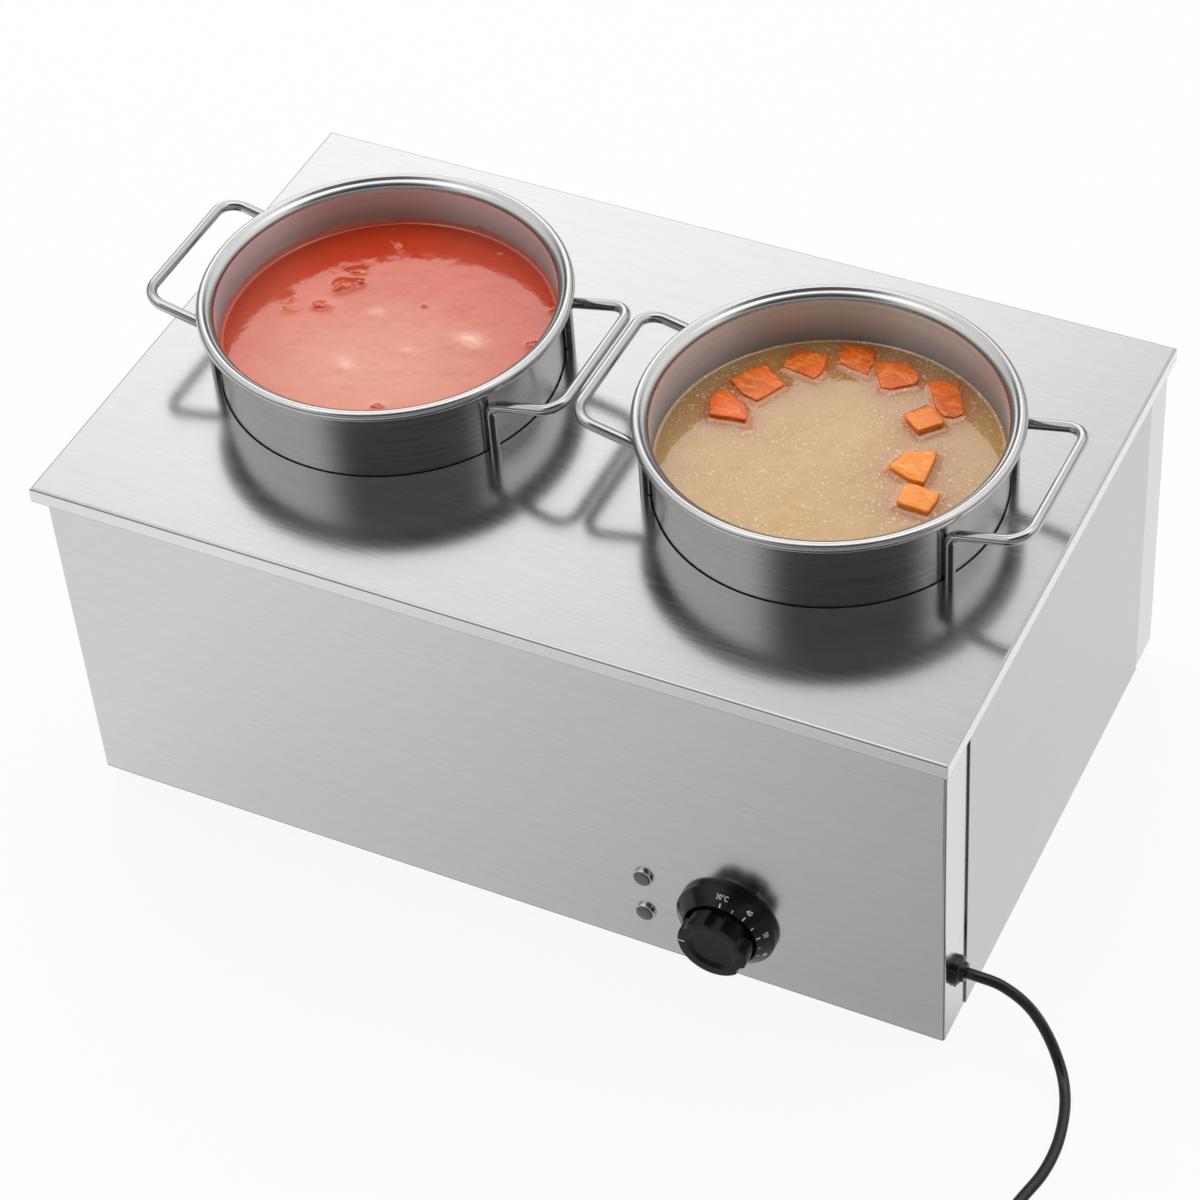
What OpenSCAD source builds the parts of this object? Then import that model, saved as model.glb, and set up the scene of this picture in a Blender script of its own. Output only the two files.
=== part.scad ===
// Two-pot soup station: a folded stainless cabinet with a water bath, two lift-out pots that hang
// by their handle legs on the top plate, a dial thermostat, two pilot lamps and a mains cord.
// Millimetres, +Z up, front faces -Y, origin on the table under the middle of the object.

/* [Cabinet] */
// Width across the front panel, bend to bend
cab_w = 592; // [560:1:680]
// Depth from the front panel to the back panel
cab_d = 371; // [350:1:420]
// Height of the cabinet panels
cab_h = 252; // [246:1:290]
// Thickness of the cabinet sheet
sheet = 1; // [0.8:0.1:1.4]
// Outer radius of the folds of the cabinet
cab_bend = 2; // [1.6:0.1:3]
// Width of the front and back panels' side flanges that stay in view
flange = 33; // [28:1:40]
// Overlap of the side panels on those flanges
lap = 12; // [8:1:18]
// Width of the inward ledges at the top and bottom of the front and back panels
ledge = 16; // [14:1:18]
// Gap under the cabinet, which the feet make
foot_gap = 12; // [9:1:16]

/* [Top plate] */
// Overhang of the top plate past each side of the cabinet
plate_side = 4; // [3:0.5:8]
// Overhang of the top plate behind the back panel
plate_back = 2.5; // [1.5:0.5:6]
// Thickness of the top plate
plate_t = 1.2; // [0.8:0.1:1.5]
// Height of the skirt folded down round the top plate
skirt = 10.5; // [7:0.5:16]
// Outer radius of the fold between the top plate and its skirt
plate_bend = 2; // [1.6:0.1:3]
// Overhang of the top plate in front of the front panel
plate_front = 8.5; // [4:0.5:9]
// How much further apart the pots' middles are than half the cabinet's width
pot_spread = 1; // [0:0.5:6]
// Pots' middle forward of the middle of the cabinet
pot_fore = 5; // [0:1:8]

/* [Pots] */
// Room between a pot's wall and the middle of the cabinet
pot_room = 41.2; // [40.6:0.1:50]
// Thickness of a pot's wall and bottom
pot_wall = 1; // [0.8:0.1:1.2]
// Height of a pot's rim above the top plate
pot_up = 58; // [54:1:70]
// Room between a pot's bottom and the tank's bottom
pot_low = 31.2; // [26:0.1:60]
// Outer radius between a pot's wall and bottom
pot_corner = 14; // [8:1:25]
// Diameter of the rolled bead round a pot's rim
bead_d = 7; // [5:0.2:7.6]
// Reach of the rim's bead outside the wall
bead_out = 9.9; // [9:0.1:11]
// Radius of the flare between the wall and the bead
lip_r = 5; // [3.5:0.1:5.5]
// Room round a pot in its hole in the top plate
pot_gap = 0.8; // [0.5:0.1:2.2]

/* [Pot handles] */
// Diameter of the handle rod
rod_d = 7; // [6:0.1:8]
// Half the distance between a handle's two legs
grip_half = 52; // [45:0.5:56]
// Room between the middle of a handle's bar and the middle of the cabinet
grip_room = 4.5; // [4:0.1:8]
// Height of a leg up to its bend
leg_h = 37.3; // [32:0.1:42]
// Rise of a handle from its legs to its outer bar
grip_rise = 10.4; // [4:0.1:14]
// Bend radius between a leg and its arm
leg_bend = 9; // [7:0.5:11]
// Bend radius at the ends of the outer bar
bar_bend = 14; // [9:0.5:16]

/* [Water bath] */
// Room between the tank and each side of the cabinet
tank_side = 15; // [14.5:0.5:22]
// Room between the tank and the front and back of the cabinet
tank_fore = 19.5; // [18.5:0.5:25]
// Corner radius of the tank
tank_r = 30; // [15:1:45]
// Thickness of the tank's sheet
tank_t = 0.8; // [0.6:0.1:1]
// Width of the tank's rim
tank_rim = 13; // [10:0.5:14]
// Height of the compartment under the tank
bay_h = 72; // [70:1:80]

/* [Heating element] */
// Diameter of the element's tube
elem_d = 8; // [6:0.5:9]
// Half the distance between the element's two runs
elem_half = 62; // [45:1:80]
// Room between the ends of the straight runs and the sides of the tank
elem_side = 81; // [71:1:110]
// Height of the element's middle above the tank's bottom
elem_lift = 13; // [11:0.5:15]
// Bend radius where the ends turn down
elem_bend = 9; // [8:0.5:9.5]
// Length of the ends below the tank's bottom
elem_tail = 24; // [20:1:30]

/* [Controls] */
// Height of the controls above the cabinet's lower edge
ctl_h = 48; // [44:1:52]
// Distance of the thermostat from the right side of the cabinet
dial_in = 141; // [120:1:156]
// Distance of the lamps left of the thermostat
lamp_in = 56; // [55:1:80]
// Distance between the two lamps
lamp_pitch = 32; // [28:1:40]
// Radius of the dial ring
ring_r = 32.8; // [30:0.1:34]
// Height of the dial ring's outer edge
ring_edge = 4; // [3:0.5:5]
// Height of the dial ring's inner edge
ring_h = 12.2; // [10:0.1:14]
// Radius of the well in the dial ring
well_r = 23.9; // [23.6:0.1:25]
// Radius of the thermostat grip
knob_r = 22.8; // [21:0.1:22.9]
// Height of the grip's front above the panel
knob_out = 25.2; // [22:0.1:30]
// Depth of the finger flutes
flute = 2.1; // [1:0.1:2.4]
// Radius of the finger flutes
flute_r = 9; // [7:0.5:11]
// Diameter of the thermostat's spindle
spindle_d = 6; // [5:0.5:7]
// Diameter of a lamp's bezel
bezel_d = 13.4; // [12.6:0.1:15]
// Diameter of a lamp's hole in the panel
lamp_hole = 10.2; // [9.6:0.1:10.6]
// Height of a lamp's bezel
bezel_h = 2.4; // [2:0.1:3.5]

/* [Feet] */
// Diameter of a foot at its top
foot_d = 28; // [24:1:34]
// Distance of a foot from the cabinet's sides
foot_in = 44; // [38:1:60]

/* [Mains cord] */
// Diameter of the cord
cord_d = 7; // [6:0.1:7]
// Diameter of the gland's flange
gland_d = 19; // [18:0.5:22]
// Reach of the gland outside the cabinet
gland_out = 7.5; // [6.5:0.5:10]
// Height of the gland above the cabinet's lower edge
gland_h = 50; // [44:1:54]
// Radius of the coil's outer turn, at the middle of the cord
coil_r = 50.5; // [50.5:0.5:56]
// Distance between neighbouring turns and layers of the coil
coil_step = 7.5; // [7.5:0.1:7.8]

/* [Hidden] */
$fn = 96;
// Overrun of every cut
over = 1;
// Clearance between round pieces that pass through one another
fit = 0.3;
// Clearance between flat pieces that lie side by side
side_fit = 0.4;
// Depth of a weld between a rod and its wall
weld = 0.15;
// Width and swell of the fine seams on a bent rod
seam_w = 0.4;
seam_up = 0.1;

cab_z = foot_gap;
cab_top = cab_z + cab_h;
plate_z = cab_top + tank_t;
plate_top = plate_z + plate_t;
front_y = -cab_d / 2;
plate_w = cab_w + 2 * plate_side;
plate_d = cab_d + plate_front + plate_back;
plate_y0 = front_y - plate_front;
dial_x = cab_w / 2 - dial_in;
lamp_x = dial_x - lamp_in;
ctl_z = cab_z + ctl_h;
// The object is centred front to back between the grip and the back edge of the top plate
place_y = (cab_d / 2 + knob_out - (plate_y0 + plate_d)) / 2;

floor_z = cab_z + bay_h;
tank_in_z = floor_z + tank_t;
tank_w = cab_w - 2 * tank_side;
tank_d = cab_d - 2 * tank_fore;
pot_pitch = cab_w / 2 + pot_spread;
pot_r = pot_pitch / 2 - pot_room;
pot_down = plate_top - tank_in_z - pot_low;
grip_reach = pot_pitch / 2 - grip_room;
hole_r = pot_r + pot_gap;
rim_r = pot_r + bead_out;
bead_r = bead_d / 2;
leg_x = sqrt(pow(pot_r + rod_d / 2 - weld, 2) - pow(grip_half, 2));
slope = atan2(grip_rise, grip_reach - leg_x);
arm_l = (grip_reach - leg_x) / cos(slope);
leg_tan = leg_bend * tan((90 - slope) / 2);

// Base plate
base_z = cab_z + sheet;
slot_w = 6;
slot_l = 44;
slot_step = 16;
slot_count = 7;
slot_x = 120;
screw_d = 4;
screw_head_d = 7.5;
screw_head_h = 2.4;
screw_tip = 5;
base_screw_shares = [-0.8, -0.28, 0.28, 0.8];

// Feet and their screws
foot_taper = 3;
foot_well_d = 14;
foot_well_h = 6;
foot_screw_d = 5;
foot_nut_af = 8;
foot_nut_h = 4;
foot_head_d = 9.5;
foot_head_h = 3;

// Element fittings
elem_y = -pot_fore;
elem_run = tank_w - 2 * elem_side;
elem_x0 = -elem_run / 2;
elem_x1 = elem_run / 2 + elem_bend;
collar_d = 18;
collar_h = 2.5;
gasket_t = 1;
gasket_d = 17;
elem_nut_af = 16;
elem_nut_h = 5;
pin_d = 3;
pin_l = 9;
saddle_w = 14;
saddle_t = 1;
saddle_share = 0.7;

// Thermostat and its sensor
therm_w = 44;
therm_h = 34;
therm_l = 26;
therm_round = 4;
therm_cup_d = 30;
therm_cup_l = 7;
therm_bore_l = 16;
therm_screw_pitch = 28;
therm_screw_l = 8;
therm_hole_d = 10;
ring_floor = 2;
ring_lip = 0.8;
ring_hole_d = 12;
knob_back = 5.5;
knob_bevel = 1.2;
knob_taper = 0.4;
knob_skin = 3;
knob_cavity_h = 11;
hub_r = 7;
dish_r = 16;
dish_depth = 2;
dish_slope = 2.5;
spindle_in = 12;
spindle_tip = 17;
spindle_flat = 1.5;
flute_angles = [147, 87, 27, -33];
cap_d = 2.4;
cap_end = 9;
cap_steps = 4;
cap_sides = 8;
bulb_d = 6;
bulb_l = 95;
bulb_x = 20;
bulb_back = 90.5;
bulb_y = front_y + bulb_back;
clip_w = 10;
clip_t = 1;
clip_ear = 8;
clip_share = 0.32;

// Limiter under the tank
limit_x = -60;
limit_y = 30;
limit_d = 25;
limit_flange_t = 2.5;
limit_body_d = 18;
limit_body_l = 14;
limit_tab_w = 6;
limit_tab_t = 0.8;
limit_tab_l = 8;
limit_tab_pitch = 9;
strap_l = 46;
strap_w = 12;
strap_t = 1;

// Lamps
bezel_wall = 1.2;
bezel_floor = 0.7;
bezel_cut = 0.9;
sleeve_wall = 0.9;
sleeve_l = 8;
lens_fit = 0.15;
lens_h = 2.2;
lens_crown = 0.8;
lamp_body_l = 18;
blade_w = 2.8;
blade_t = 0.8;
blade_l = 8;
blade_pitch = 4.4;
lamp_nut_af = 14;
lamp_nut_h = 3;

// Terminal block
term_l = 46;
term_w = 20;
term_h = 18;
term_in = 70;
term_back = 67.5;
term_x = cab_w / 2 - term_in;
term_y = front_y + term_back;
term_poles = 3;
term_well_d = 6;
term_well_h = 7;
term_ear = 7;
term_ear_h = 6;

// Gland
gland_flange_h = 4.2;
gland_round = 1.6;
snout_d = 13;
gland_body_d = 14;
gland_body_l = 14;
gland_nut_af = 20;
gland_nut_h = 5;
tail_end = 8;
tail_steps = 3;

// Cord route outside the cabinet, at the middle of the cord
cord_sides = 10;
tie_w = 9;
tie_t = 0.8;
tie_room = 0.3;
tie_angle = 180;
tie_share = 0.5;
cord_low = cord_d / 2;
coil_z = cord_low + tie_room + tie_t;
cord_route = [[303.5, -157.65, 62], [310.5, -157.65, 62], [325, -156, 58.5], [340, -155, 48],
    [351.5, -155, 32], [362, -159.5, 16], [371.5, -170.5, 6], [379, -189, cord_low],
    [383.5, -213, cord_low], [383, -236, cord_low], [377.5, -260, cord_low], [373, -285, cord_low],
    [371, -315, 4], [371, -344, coil_z], [371, -351, coil_z]];
// The route follows the gland when the cabinet's sizes change
gland_tip = [cab_w / 2 + gland_out, front_y + flange / 2 + place_y, cab_z + gland_h];
route_shift = gland_tip - cord_route[0];
route_lift = (gland_tip[2] - coil_z) / (cord_route[0][2] - coil_z);
route = [for (p = cord_route) [p[0] + route_shift[0], p[1] + route_shift[1],
    p[2] > coil_z ? coil_z + (p[2] - coil_z) * route_lift : p[2]]];
route_end = route[len(route) - 1];
coil_turns = 3;
coil_rings = 24;
coil_sides = 6;
coil_at = [route_end[0] - coil_r, route_end[1] - cord_d];
lead_l = 48;

// Plug
plug_w = 30;
plug_h = 2 * (coil_z + coil_step);
plug_l = 24;
plug_neck_w = 13;
plug_neck_l = 16;
plug_face_l = 6;
plug_round = 4;
plug_relief_d = 10.5;
plug_relief_l = 14;
plug_ribs = 3;
prong_w = 6.35;
prong_t = 1.52;
prong_l = 17;
prong_pitch = 12.7;
prong_up = 5;
earth_d = 4.8;
earth_l = 20;
earth_down = 11.9;
pin_root = 6;

steel = [0.76, 0.76, 0.77];
dark_steel = [0.55, 0.55, 0.56];
bright_steel = [0.84, 0.84, 0.85];
black = [0.06, 0.06, 0.06];
rubber = [0.1, 0.1, 0.1];
brass = [0.78, 0.62, 0.3];
cream = [0.9, 0.88, 0.82];
smoke = [0.3, 0.3, 0.31];

// Helpers

module place() { translate([0, place_y, 0]) children(); }

// Points the local Z axis out of the front panel
module on_front(x, z) { translate([x, front_y, z]) rotate([90, 0, 0]) children(); }

// Points the local Z axis out of the right-hand flange of the front panel
module on_flange() {
    translate([cab_w / 2, front_y + flange / 2, cab_z + gland_h]) rotate([0, 90, 0]) children();
}

module round_rect(w, d, r) {
    square([w - 2 * r, d], center = true);
    square([w, d - 2 * r], center = true);
    for (x = [-1, 1], y = [-1, 1]) translate([x * (w / 2 - r), y * (d / 2 - r)]) circle(r);
}

// Outline with two round corners at y = 0 and a straight back at y = d
module round_front(w, d, r) {
    translate([-w / 2 + r, 0]) square([w - 2 * r, d]);
    translate([-w / 2, r]) square([w, d - r]);
    for (x = [-1, 1]) translate([x * (w / 2 - r), r]) circle(r);
}

// Quarter of a ring, from the +X axis to the +Y axis
module quarter(r_out, r_in) {
    intersection() {
        difference() {
            circle(r_out);
            circle(r_in);
        }
        square(r_out);
    }
}

module slot() {
    square([slot_w, slot_l - slot_w], center = true);
    for (s = [-1, 1]) translate([0, s * (slot_l - slot_w) / 2]) circle(d = slot_w);
}

module hex(af, h) { cylinder(d = af / cos(30), h = h, $fn = 6); }

// Cabinet

module wrap_panel() {
    w = cab_w;
    difference() {
        union() {
            translate([0, front_y, cab_z]) linear_extrude(cab_h) difference() {
                round_front(w, flange + lap, cab_bend);
                translate([0, sheet]) round_front(w - 2 * sheet, flange + lap + over, cab_bend - sheet);
            }
            for (z = [cab_z, cab_top - sheet])
                translate([-w / 2 + cab_bend, front_y + sheet / 2, z])
                    cube([w - 2 * cab_bend, ledge - sheet / 2, sheet]);
        }
        base_screw_places() translate([0, 0, -over]) cylinder(d = screw_d + fit, h = sheet + 2 * over);
    }
}

module base_screw_places() {
    for (s = base_screw_shares)
        translate([s * cab_w / 2, front_y + ledge / 2 + sheet / 2, cab_z]) children();
}

module front_panel() {
    color(steel) place() difference() {
        wrap_panel();
        on_front(dial_x, ctl_z) translate([0, 0, -sheet - over]) {
            cylinder(d = therm_hole_d, h = sheet + 2 * over);
            for (s = [-1, 1]) translate([s * therm_screw_pitch / 2, 0, 0])
                cylinder(d = screw_d + fit, h = sheet + 2 * over);
        }
        for (s = [-1, 1]) on_front(lamp_x, ctl_z + s * lamp_pitch / 2)
            translate([0, 0, -sheet - over]) cylinder(d = lamp_hole, h = sheet + 2 * over);
        on_flange() translate([0, 0, -sheet - over])
            cylinder(d = gland_body_d + fit, h = sheet + 2 * over);
    }
}

module back_panel() {
    color(steel) place() rotate([0, 0, 180]) wrap_panel();
}

module side_panel() {
    translate([cab_w / 2, front_y + flange, cab_z]) cube([sheet, cab_d - 2 * flange, cab_h]);
}

module left_panel() { color(steel) place() mirror([1, 0, 0]) side_panel(); }

module right_panel() { color(steel) place() side_panel(); }

module base_plate() {
    w = cab_w - 2 * (sheet + side_fit);
    d = cab_d - 2 * (sheet + side_fit);
    color(steel) place() difference() {
        translate([-w / 2, -d / 2, base_z]) cube([w, d, sheet]);
        for (x = [-slot_x, slot_x], i = [0 : slot_count - 1])
            translate([x + (i - (slot_count - 1) / 2) * slot_step, 0, base_z - over])
                linear_extrude(sheet + 2 * over) slot();
        foot_places() translate([0, 0, base_z - over])
            cylinder(d = foot_screw_d + fit, h = sheet + 2 * over);
        for (a = [0, 180]) rotate([0, 0, a]) base_screw_places()
            cylinder(d = screw_d + fit, h = 2 * sheet + over);
    }
}

module base_screws() {
    color(bright_steel) place() for (a = [0, 180]) rotate([0, 0, a]) base_screw_places() {
        translate([0, 0, -screw_head_h]) cylinder(d = screw_head_d, h = screw_head_h);
        cylinder(d = screw_d, h = screw_tip);
    }
}

// Feet

module foot_places() {
    for (x = [-1, 1], y = [-1, 1])
        translate([x * (cab_w / 2 - foot_in), y * (cab_d / 2 - foot_in), 0]) children();
}

module feet() {
    color(rubber) place() foot_places() rotate_extrude() difference() {
        polygon([[0, 0], [foot_d / 2 - foot_taper, 0], [foot_d / 2, base_z], [0, base_z]]);
        translate([0, -over]) square([foot_well_d / 2, foot_well_h + over]);
        square([(foot_screw_d + fit) / 2, base_z + over]);
    }
}

module foot_screws() {
    color(bright_steel) place() foot_places() {
        translate([0, 0, foot_well_h - foot_head_h]) cylinder(d = foot_head_d, h = foot_head_h);
        translate([0, 0, foot_well_h])
            cylinder(d = foot_screw_d, h = base_z + sheet + foot_nut_h - foot_well_h);
    }
}

module foot_nuts() {
    color(bright_steel) place() foot_places() translate([0, 0, base_z + sheet]) difference() {
        hex(foot_nut_af, foot_nut_h);
        translate([0, 0, -over]) cylinder(d = foot_screw_d + fit / 2, h = foot_nut_h + 2 * over);
    }
}

// Top plate: a shallow tray upside down, folded along its four top edges

module tray(w, d, h, r) {
    intersection() {
        translate([-w / 2, 0, h]) rotate([90, 0, 90]) linear_extrude(w)
            translate([d / 2, 0]) mirror([0, 1]) round_front(d, h, r);
        translate([0, 0, h]) rotate([90, 0, 0]) mirror([0, 0, 1]) linear_extrude(d)
            mirror([0, 1]) round_front(w, h, r);
    }
}

module pot_places() {
    for (s = [-1, 1]) translate([s * pot_pitch / 2, -pot_fore, 0]) children();
}

module top_plate() {
    color(steel) place() difference() {
        translate([0, plate_y0, plate_top - skirt]) difference() {
            tray(plate_w, plate_d, skirt, plate_bend);
            translate([0, plate_t, -over])
                tray(plate_w - 2 * plate_t, plate_d - 2 * plate_t, skirt - plate_t + over,
                    plate_bend - plate_t);
        }
        pot_places() translate([0, 0, plate_z - over])
            cylinder(r = hole_r, h = plate_t + 2 * over, $fn = 180);
    }
}

// Water bath

module water_tank() {
    rim_w = tank_w + 2 * (tank_t + tank_rim);
    rim_d = tank_d + 2 * (tank_t + tank_rim);
    color(dark_steel) place() difference() {
        union() {
            translate([0, 0, cab_top]) linear_extrude(tank_t) round_rect(rim_w, rim_d, tank_r);
            translate([0, 0, floor_z]) linear_extrude(cab_top - floor_z + tank_t / 2)
                round_rect(tank_w + 2 * tank_t, tank_d + 2 * tank_t, tank_r + tank_t);
        }
        translate([0, 0, tank_in_z]) linear_extrude(cab_top - floor_z + over)
            round_rect(tank_w, tank_d, tank_r);
        element_ends() translate([0, 0, floor_z - over])
            cylinder(d = elem_d + fit, h = tank_t + 2 * over);
    }
}

// Heating element: one long hairpin on the bottom of the tank, its two ends turned down through it

module element_ends() {
    for (s = [-1, 1]) translate([elem_x1, elem_y + s * elem_half, 0]) children();
}

module heating_element() {
    z = tank_in_z + elem_lift;
    color(dark_steel) place() {
        for (s = [-1, 1]) translate([elem_x0, elem_y + s * elem_half, z])
            rotate([0, 90, 0]) cylinder(d = elem_d, h = elem_run);
        translate([elem_x0, elem_y, z]) rotate([0, 0, 90])
            rotate_extrude(angle = 180) translate([elem_half, 0]) circle(d = elem_d);
        for (s = [-1, 1]) translate([elem_x1 - elem_bend, elem_y + s * elem_half, z - elem_bend])
            rotate([90, 0, 0]) rotate_extrude(angle = 90) translate([elem_bend, 0]) circle(d = elem_d);
        element_ends() {
            translate([0, 0, floor_z - elem_tail])
                cylinder(d = elem_d, h = elem_tail + tank_t + elem_lift - elem_bend);
            translate([0, 0, tank_in_z + gasket_t]) cylinder(d = collar_d, h = collar_h);
            translate([0, 0, floor_z - elem_tail - pin_l]) cylinder(d = pin_d, h = pin_l);
        }
    }
}

module element_gaskets() {
    color(rubber) place() element_ends() translate([0, 0, tank_in_z]) difference() {
        cylinder(d = gasket_d, h = gasket_t);
        translate([0, 0, -over]) cylinder(d = elem_d + fit, h = gasket_t + 2 * over);
    }
}

module element_nuts() {
    color(brass) place() element_ends() translate([0, 0, floor_z - elem_nut_h]) difference() {
        hex(elem_nut_af, elem_nut_h);
        translate([0, 0, -over]) cylinder(d = elem_d + fit, h = elem_nut_h + 2 * over);
    }
}

// Saddles that hold the runs up off the bottom of the tank
module element_saddles() {
    h = elem_lift - elem_d / 2;
    color(dark_steel) place() for (s = [-1, 1])
        translate([-saddle_share * elem_run / 2, elem_y + s * elem_half, tank_in_z]) {
            translate([-saddle_w / 2, -saddle_w / 2, 0]) cube([saddle_w, saddle_w, saddle_t]);
            translate([-saddle_t / 2, -saddle_w / 2, 0]) cube([saddle_t, saddle_w, h - fit]);
        }
}

// Thermostat

module thermostat_body() {
    color(cream) place() on_front(dial_x, ctl_z) difference() {
        union() {
            translate([0, 0, -sheet - therm_l]) linear_extrude(therm_l)
                round_rect(therm_w, therm_h, therm_round);
            translate([0, 0, -sheet - therm_l - therm_cup_l])
                cylinder(d = therm_cup_d, h = therm_cup_l + over);
        }
        translate([0, 0, -sheet - therm_bore_l])
            cylinder(d = spindle_d + 2 * fit, h = therm_bore_l + over);
        for (s = [-1, 1]) translate([s * therm_screw_pitch / 2, 0, -sheet - therm_screw_l - over])
            cylinder(d = screw_d + fit, h = therm_screw_l + 2 * over);
    }
}

module thermostat_screws() {
    color(bright_steel) place() on_front(dial_x, ctl_z) for (s = [-1, 1])
        translate([s * therm_screw_pitch / 2, 0, 0]) {
            translate([0, 0, ring_floor]) cylinder(d = screw_head_d, h = screw_head_h);
            translate([0, 0, -sheet - therm_screw_l])
                cylinder(d = screw_d, h = ring_floor + sheet + therm_screw_l);
        }
}

module dial_ring() {
    color(black) place() on_front(dial_x, ctl_z) difference() {
        rotate_extrude() polygon([[ring_hole_d / 2, 0], [ring_r, 0], [ring_r, ring_edge],
            [well_r + ring_lip, ring_h], [well_r, ring_h], [well_r, ring_floor],
            [ring_hole_d / 2, ring_floor]]);
        for (s = [-1, 1]) translate([s * therm_screw_pitch / 2, 0, -over])
            cylinder(d = screw_d + fit, h = ring_floor + 2 * over);
    }
}

module knob_grip() {
    r_back = knob_r - knob_taper;
    color(black) place() on_front(dial_x, ctl_z) difference() {
        rotate_extrude() polygon([[hub_r, knob_back], [hub_r, knob_back + knob_cavity_h],
            [r_back - knob_skin, knob_back + knob_cavity_h], [r_back - knob_skin, knob_back],
            [r_back, knob_back], [knob_r, knob_out - knob_bevel], [knob_r - knob_bevel, knob_out],
            [dish_r, knob_out], [dish_r - dish_slope, knob_out - dish_depth], [0, knob_out - dish_depth],
            [0, knob_back]]);
        translate([0, 0, knob_back - over])
            cylinder(d = spindle_d + fit, h = spindle_tip - knob_back + over + fit);
        for (a = flute_angles) rotate([0, 0, a])
            translate([knob_r + flute_r - flute, 0, knob_back - over])
                cylinder(r = flute_r, h = knob_out - knob_back + 2 * over);
    }
}

module knob_spindle() {
    color(bright_steel) place() on_front(dial_x, ctl_z) difference() {
        translate([0, 0, -sheet - spindle_in])
            cylinder(d = spindle_d, h = sheet + spindle_in + spindle_tip);
        translate([spindle_d / 2 - spindle_flat, -spindle_d / 2, knob_back])
            cube([spindle_flat + over, spindle_d, spindle_tip]);
    }
}

// Sensor bulb held under the tank, with its capillary from the thermostat

module sensor_bulb() {
    color(brass) place() translate([bulb_x, bulb_y, floor_z - bulb_d / 2 - fit / 2])
        rotate([0, 90, 0]) cylinder(d = bulb_d, h = bulb_l);
}

module capillary() {
    z = floor_z - bulb_d / 2 - fit / 2;
    y0 = front_y + sheet + therm_l + therm_cup_l;
    x1 = bulb_x + bulb_l;
    color(brass) place() tube(smooth([[dial_x, y0, ctl_z], [dial_x, y0 + cap_end, ctl_z],
        [dial_x + cap_end, y0 + 2 * cap_end, (ctl_z + z) / 2], [dial_x, bulb_y - cap_end, z],
        [x1 + 2 * cap_end, bulb_y, z], [x1 + cap_end, bulb_y, z], [x1, bulb_y, z]], cap_steps),
        cap_d, cap_sides);
}

module bulb_clips() {
    r = bulb_d / 2 + fit / 2;
    color(dark_steel) place() for (s = [-1, 1])
        translate([bulb_x + (1 + s * (1 - clip_share)) * bulb_l / 2 - clip_w / 2, bulb_y, floor_z - r])
            rotate([90, 0, 90]) linear_extrude(clip_w) {
                difference() {
                    circle(r + clip_t);
                    circle(r);
                    translate([-r - clip_t - over, 0])
                        square([2 * (r + clip_t + over), r + clip_t + over]);
                }
                for (m = [0, 1]) mirror([m, 0]) {
                    translate([r, -over / 2]) square([clip_t, r + over / 2]);
                    translate([r, r - clip_t]) square([clip_ear, clip_t]);
                }
            }
}

// Limiter against boiling dry, strapped under the tank

module limit_cutout() {
    color(cream) place() translate([limit_x, limit_y, floor_z]) {
        translate([0, 0, -limit_flange_t]) cylinder(d = limit_d, h = limit_flange_t);
        translate([0, 0, -limit_flange_t - limit_body_l]) cylinder(d = limit_body_d, h = limit_body_l);
        for (s = [-1, 1])
            translate([s * limit_tab_pitch / 2 - limit_tab_t / 2, -limit_tab_w / 2,
                -limit_flange_t - limit_body_l - limit_tab_l])
                cube([limit_tab_t, limit_tab_w, limit_tab_l]);
    }
}

module cutout_strap() {
    hole = limit_body_d + 2 * fit;
    color(dark_steel) place() translate([limit_x, limit_y, floor_z - limit_flange_t - strap_t]) {
        difference() {
            union() {
                translate([-strap_l / 2, -strap_w / 2, 0]) cube([strap_l, strap_w, strap_t]);
                cylinder(d = limit_d, h = strap_t);
            }
            translate([0, 0, -over]) cylinder(d = hole, h = strap_t + 2 * over);
        }
        for (s = [0, 1]) mirror([s, 0, 0]) translate([strap_l / 2 - strap_t, -strap_w / 2, 0])
            cube([strap_t, strap_w, strap_t + limit_flange_t]);
    }
}

// Pilot lamps

module lamp_bezel() {
    r_in = bezel_d / 2 - bezel_wall;
    r_sleeve = lamp_hole / 2 - fit / 2;
    rotate_extrude() {
        polygon([[r_sleeve - sleeve_wall, 0], [bezel_d / 2, 0], [bezel_d / 2, bezel_h - bezel_cut],
            [bezel_d / 2 - bezel_cut, bezel_h], [r_in, bezel_h], [r_in, bezel_floor],
            [r_sleeve - sleeve_wall, bezel_floor]]);
        translate([r_sleeve - sleeve_wall, -sleeve_l]) square([sleeve_wall, sleeve_l + bezel_floor / 2]);
    }
}

module lamp_lens() {
    r = bezel_d / 2 - bezel_wall - lens_fit;
    ball = (r * r + lens_crown * lens_crown) / (2 * lens_crown);
    translate([0, 0, bezel_floor]) intersection() {
        cylinder(r = r, h = lens_h + lens_crown);
        translate([0, 0, lens_h + lens_crown - ball]) sphere(ball);
    }
}

module lamp_body() {
    r = lamp_hole / 2 - fit / 2 - sleeve_wall - lens_fit;
    translate([0, 0, -sleeve_l - lamp_body_l]) cylinder(r = r + sleeve_wall, h = lamp_body_l);
    translate([0, 0, -sleeve_l - over]) cylinder(r = r, h = sleeve_l + over + bezel_floor);
    for (s = [-1, 1])
        translate([s * blade_pitch / 2 - blade_t / 2, -blade_w / 2, -sleeve_l - lamp_body_l - blade_l])
            cube([blade_t, blade_w, blade_l + over]);
}

module lamp_nut() {
    translate([0, 0, -sheet - lamp_nut_h]) difference() {
        hex(lamp_nut_af, lamp_nut_h);
        translate([0, 0, -over]) cylinder(d = lamp_hole, h = lamp_nut_h + 2 * over);
    }
}

module at_lamp(s) { place() on_front(lamp_x, ctl_z + s * lamp_pitch / 2) children(); }

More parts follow.
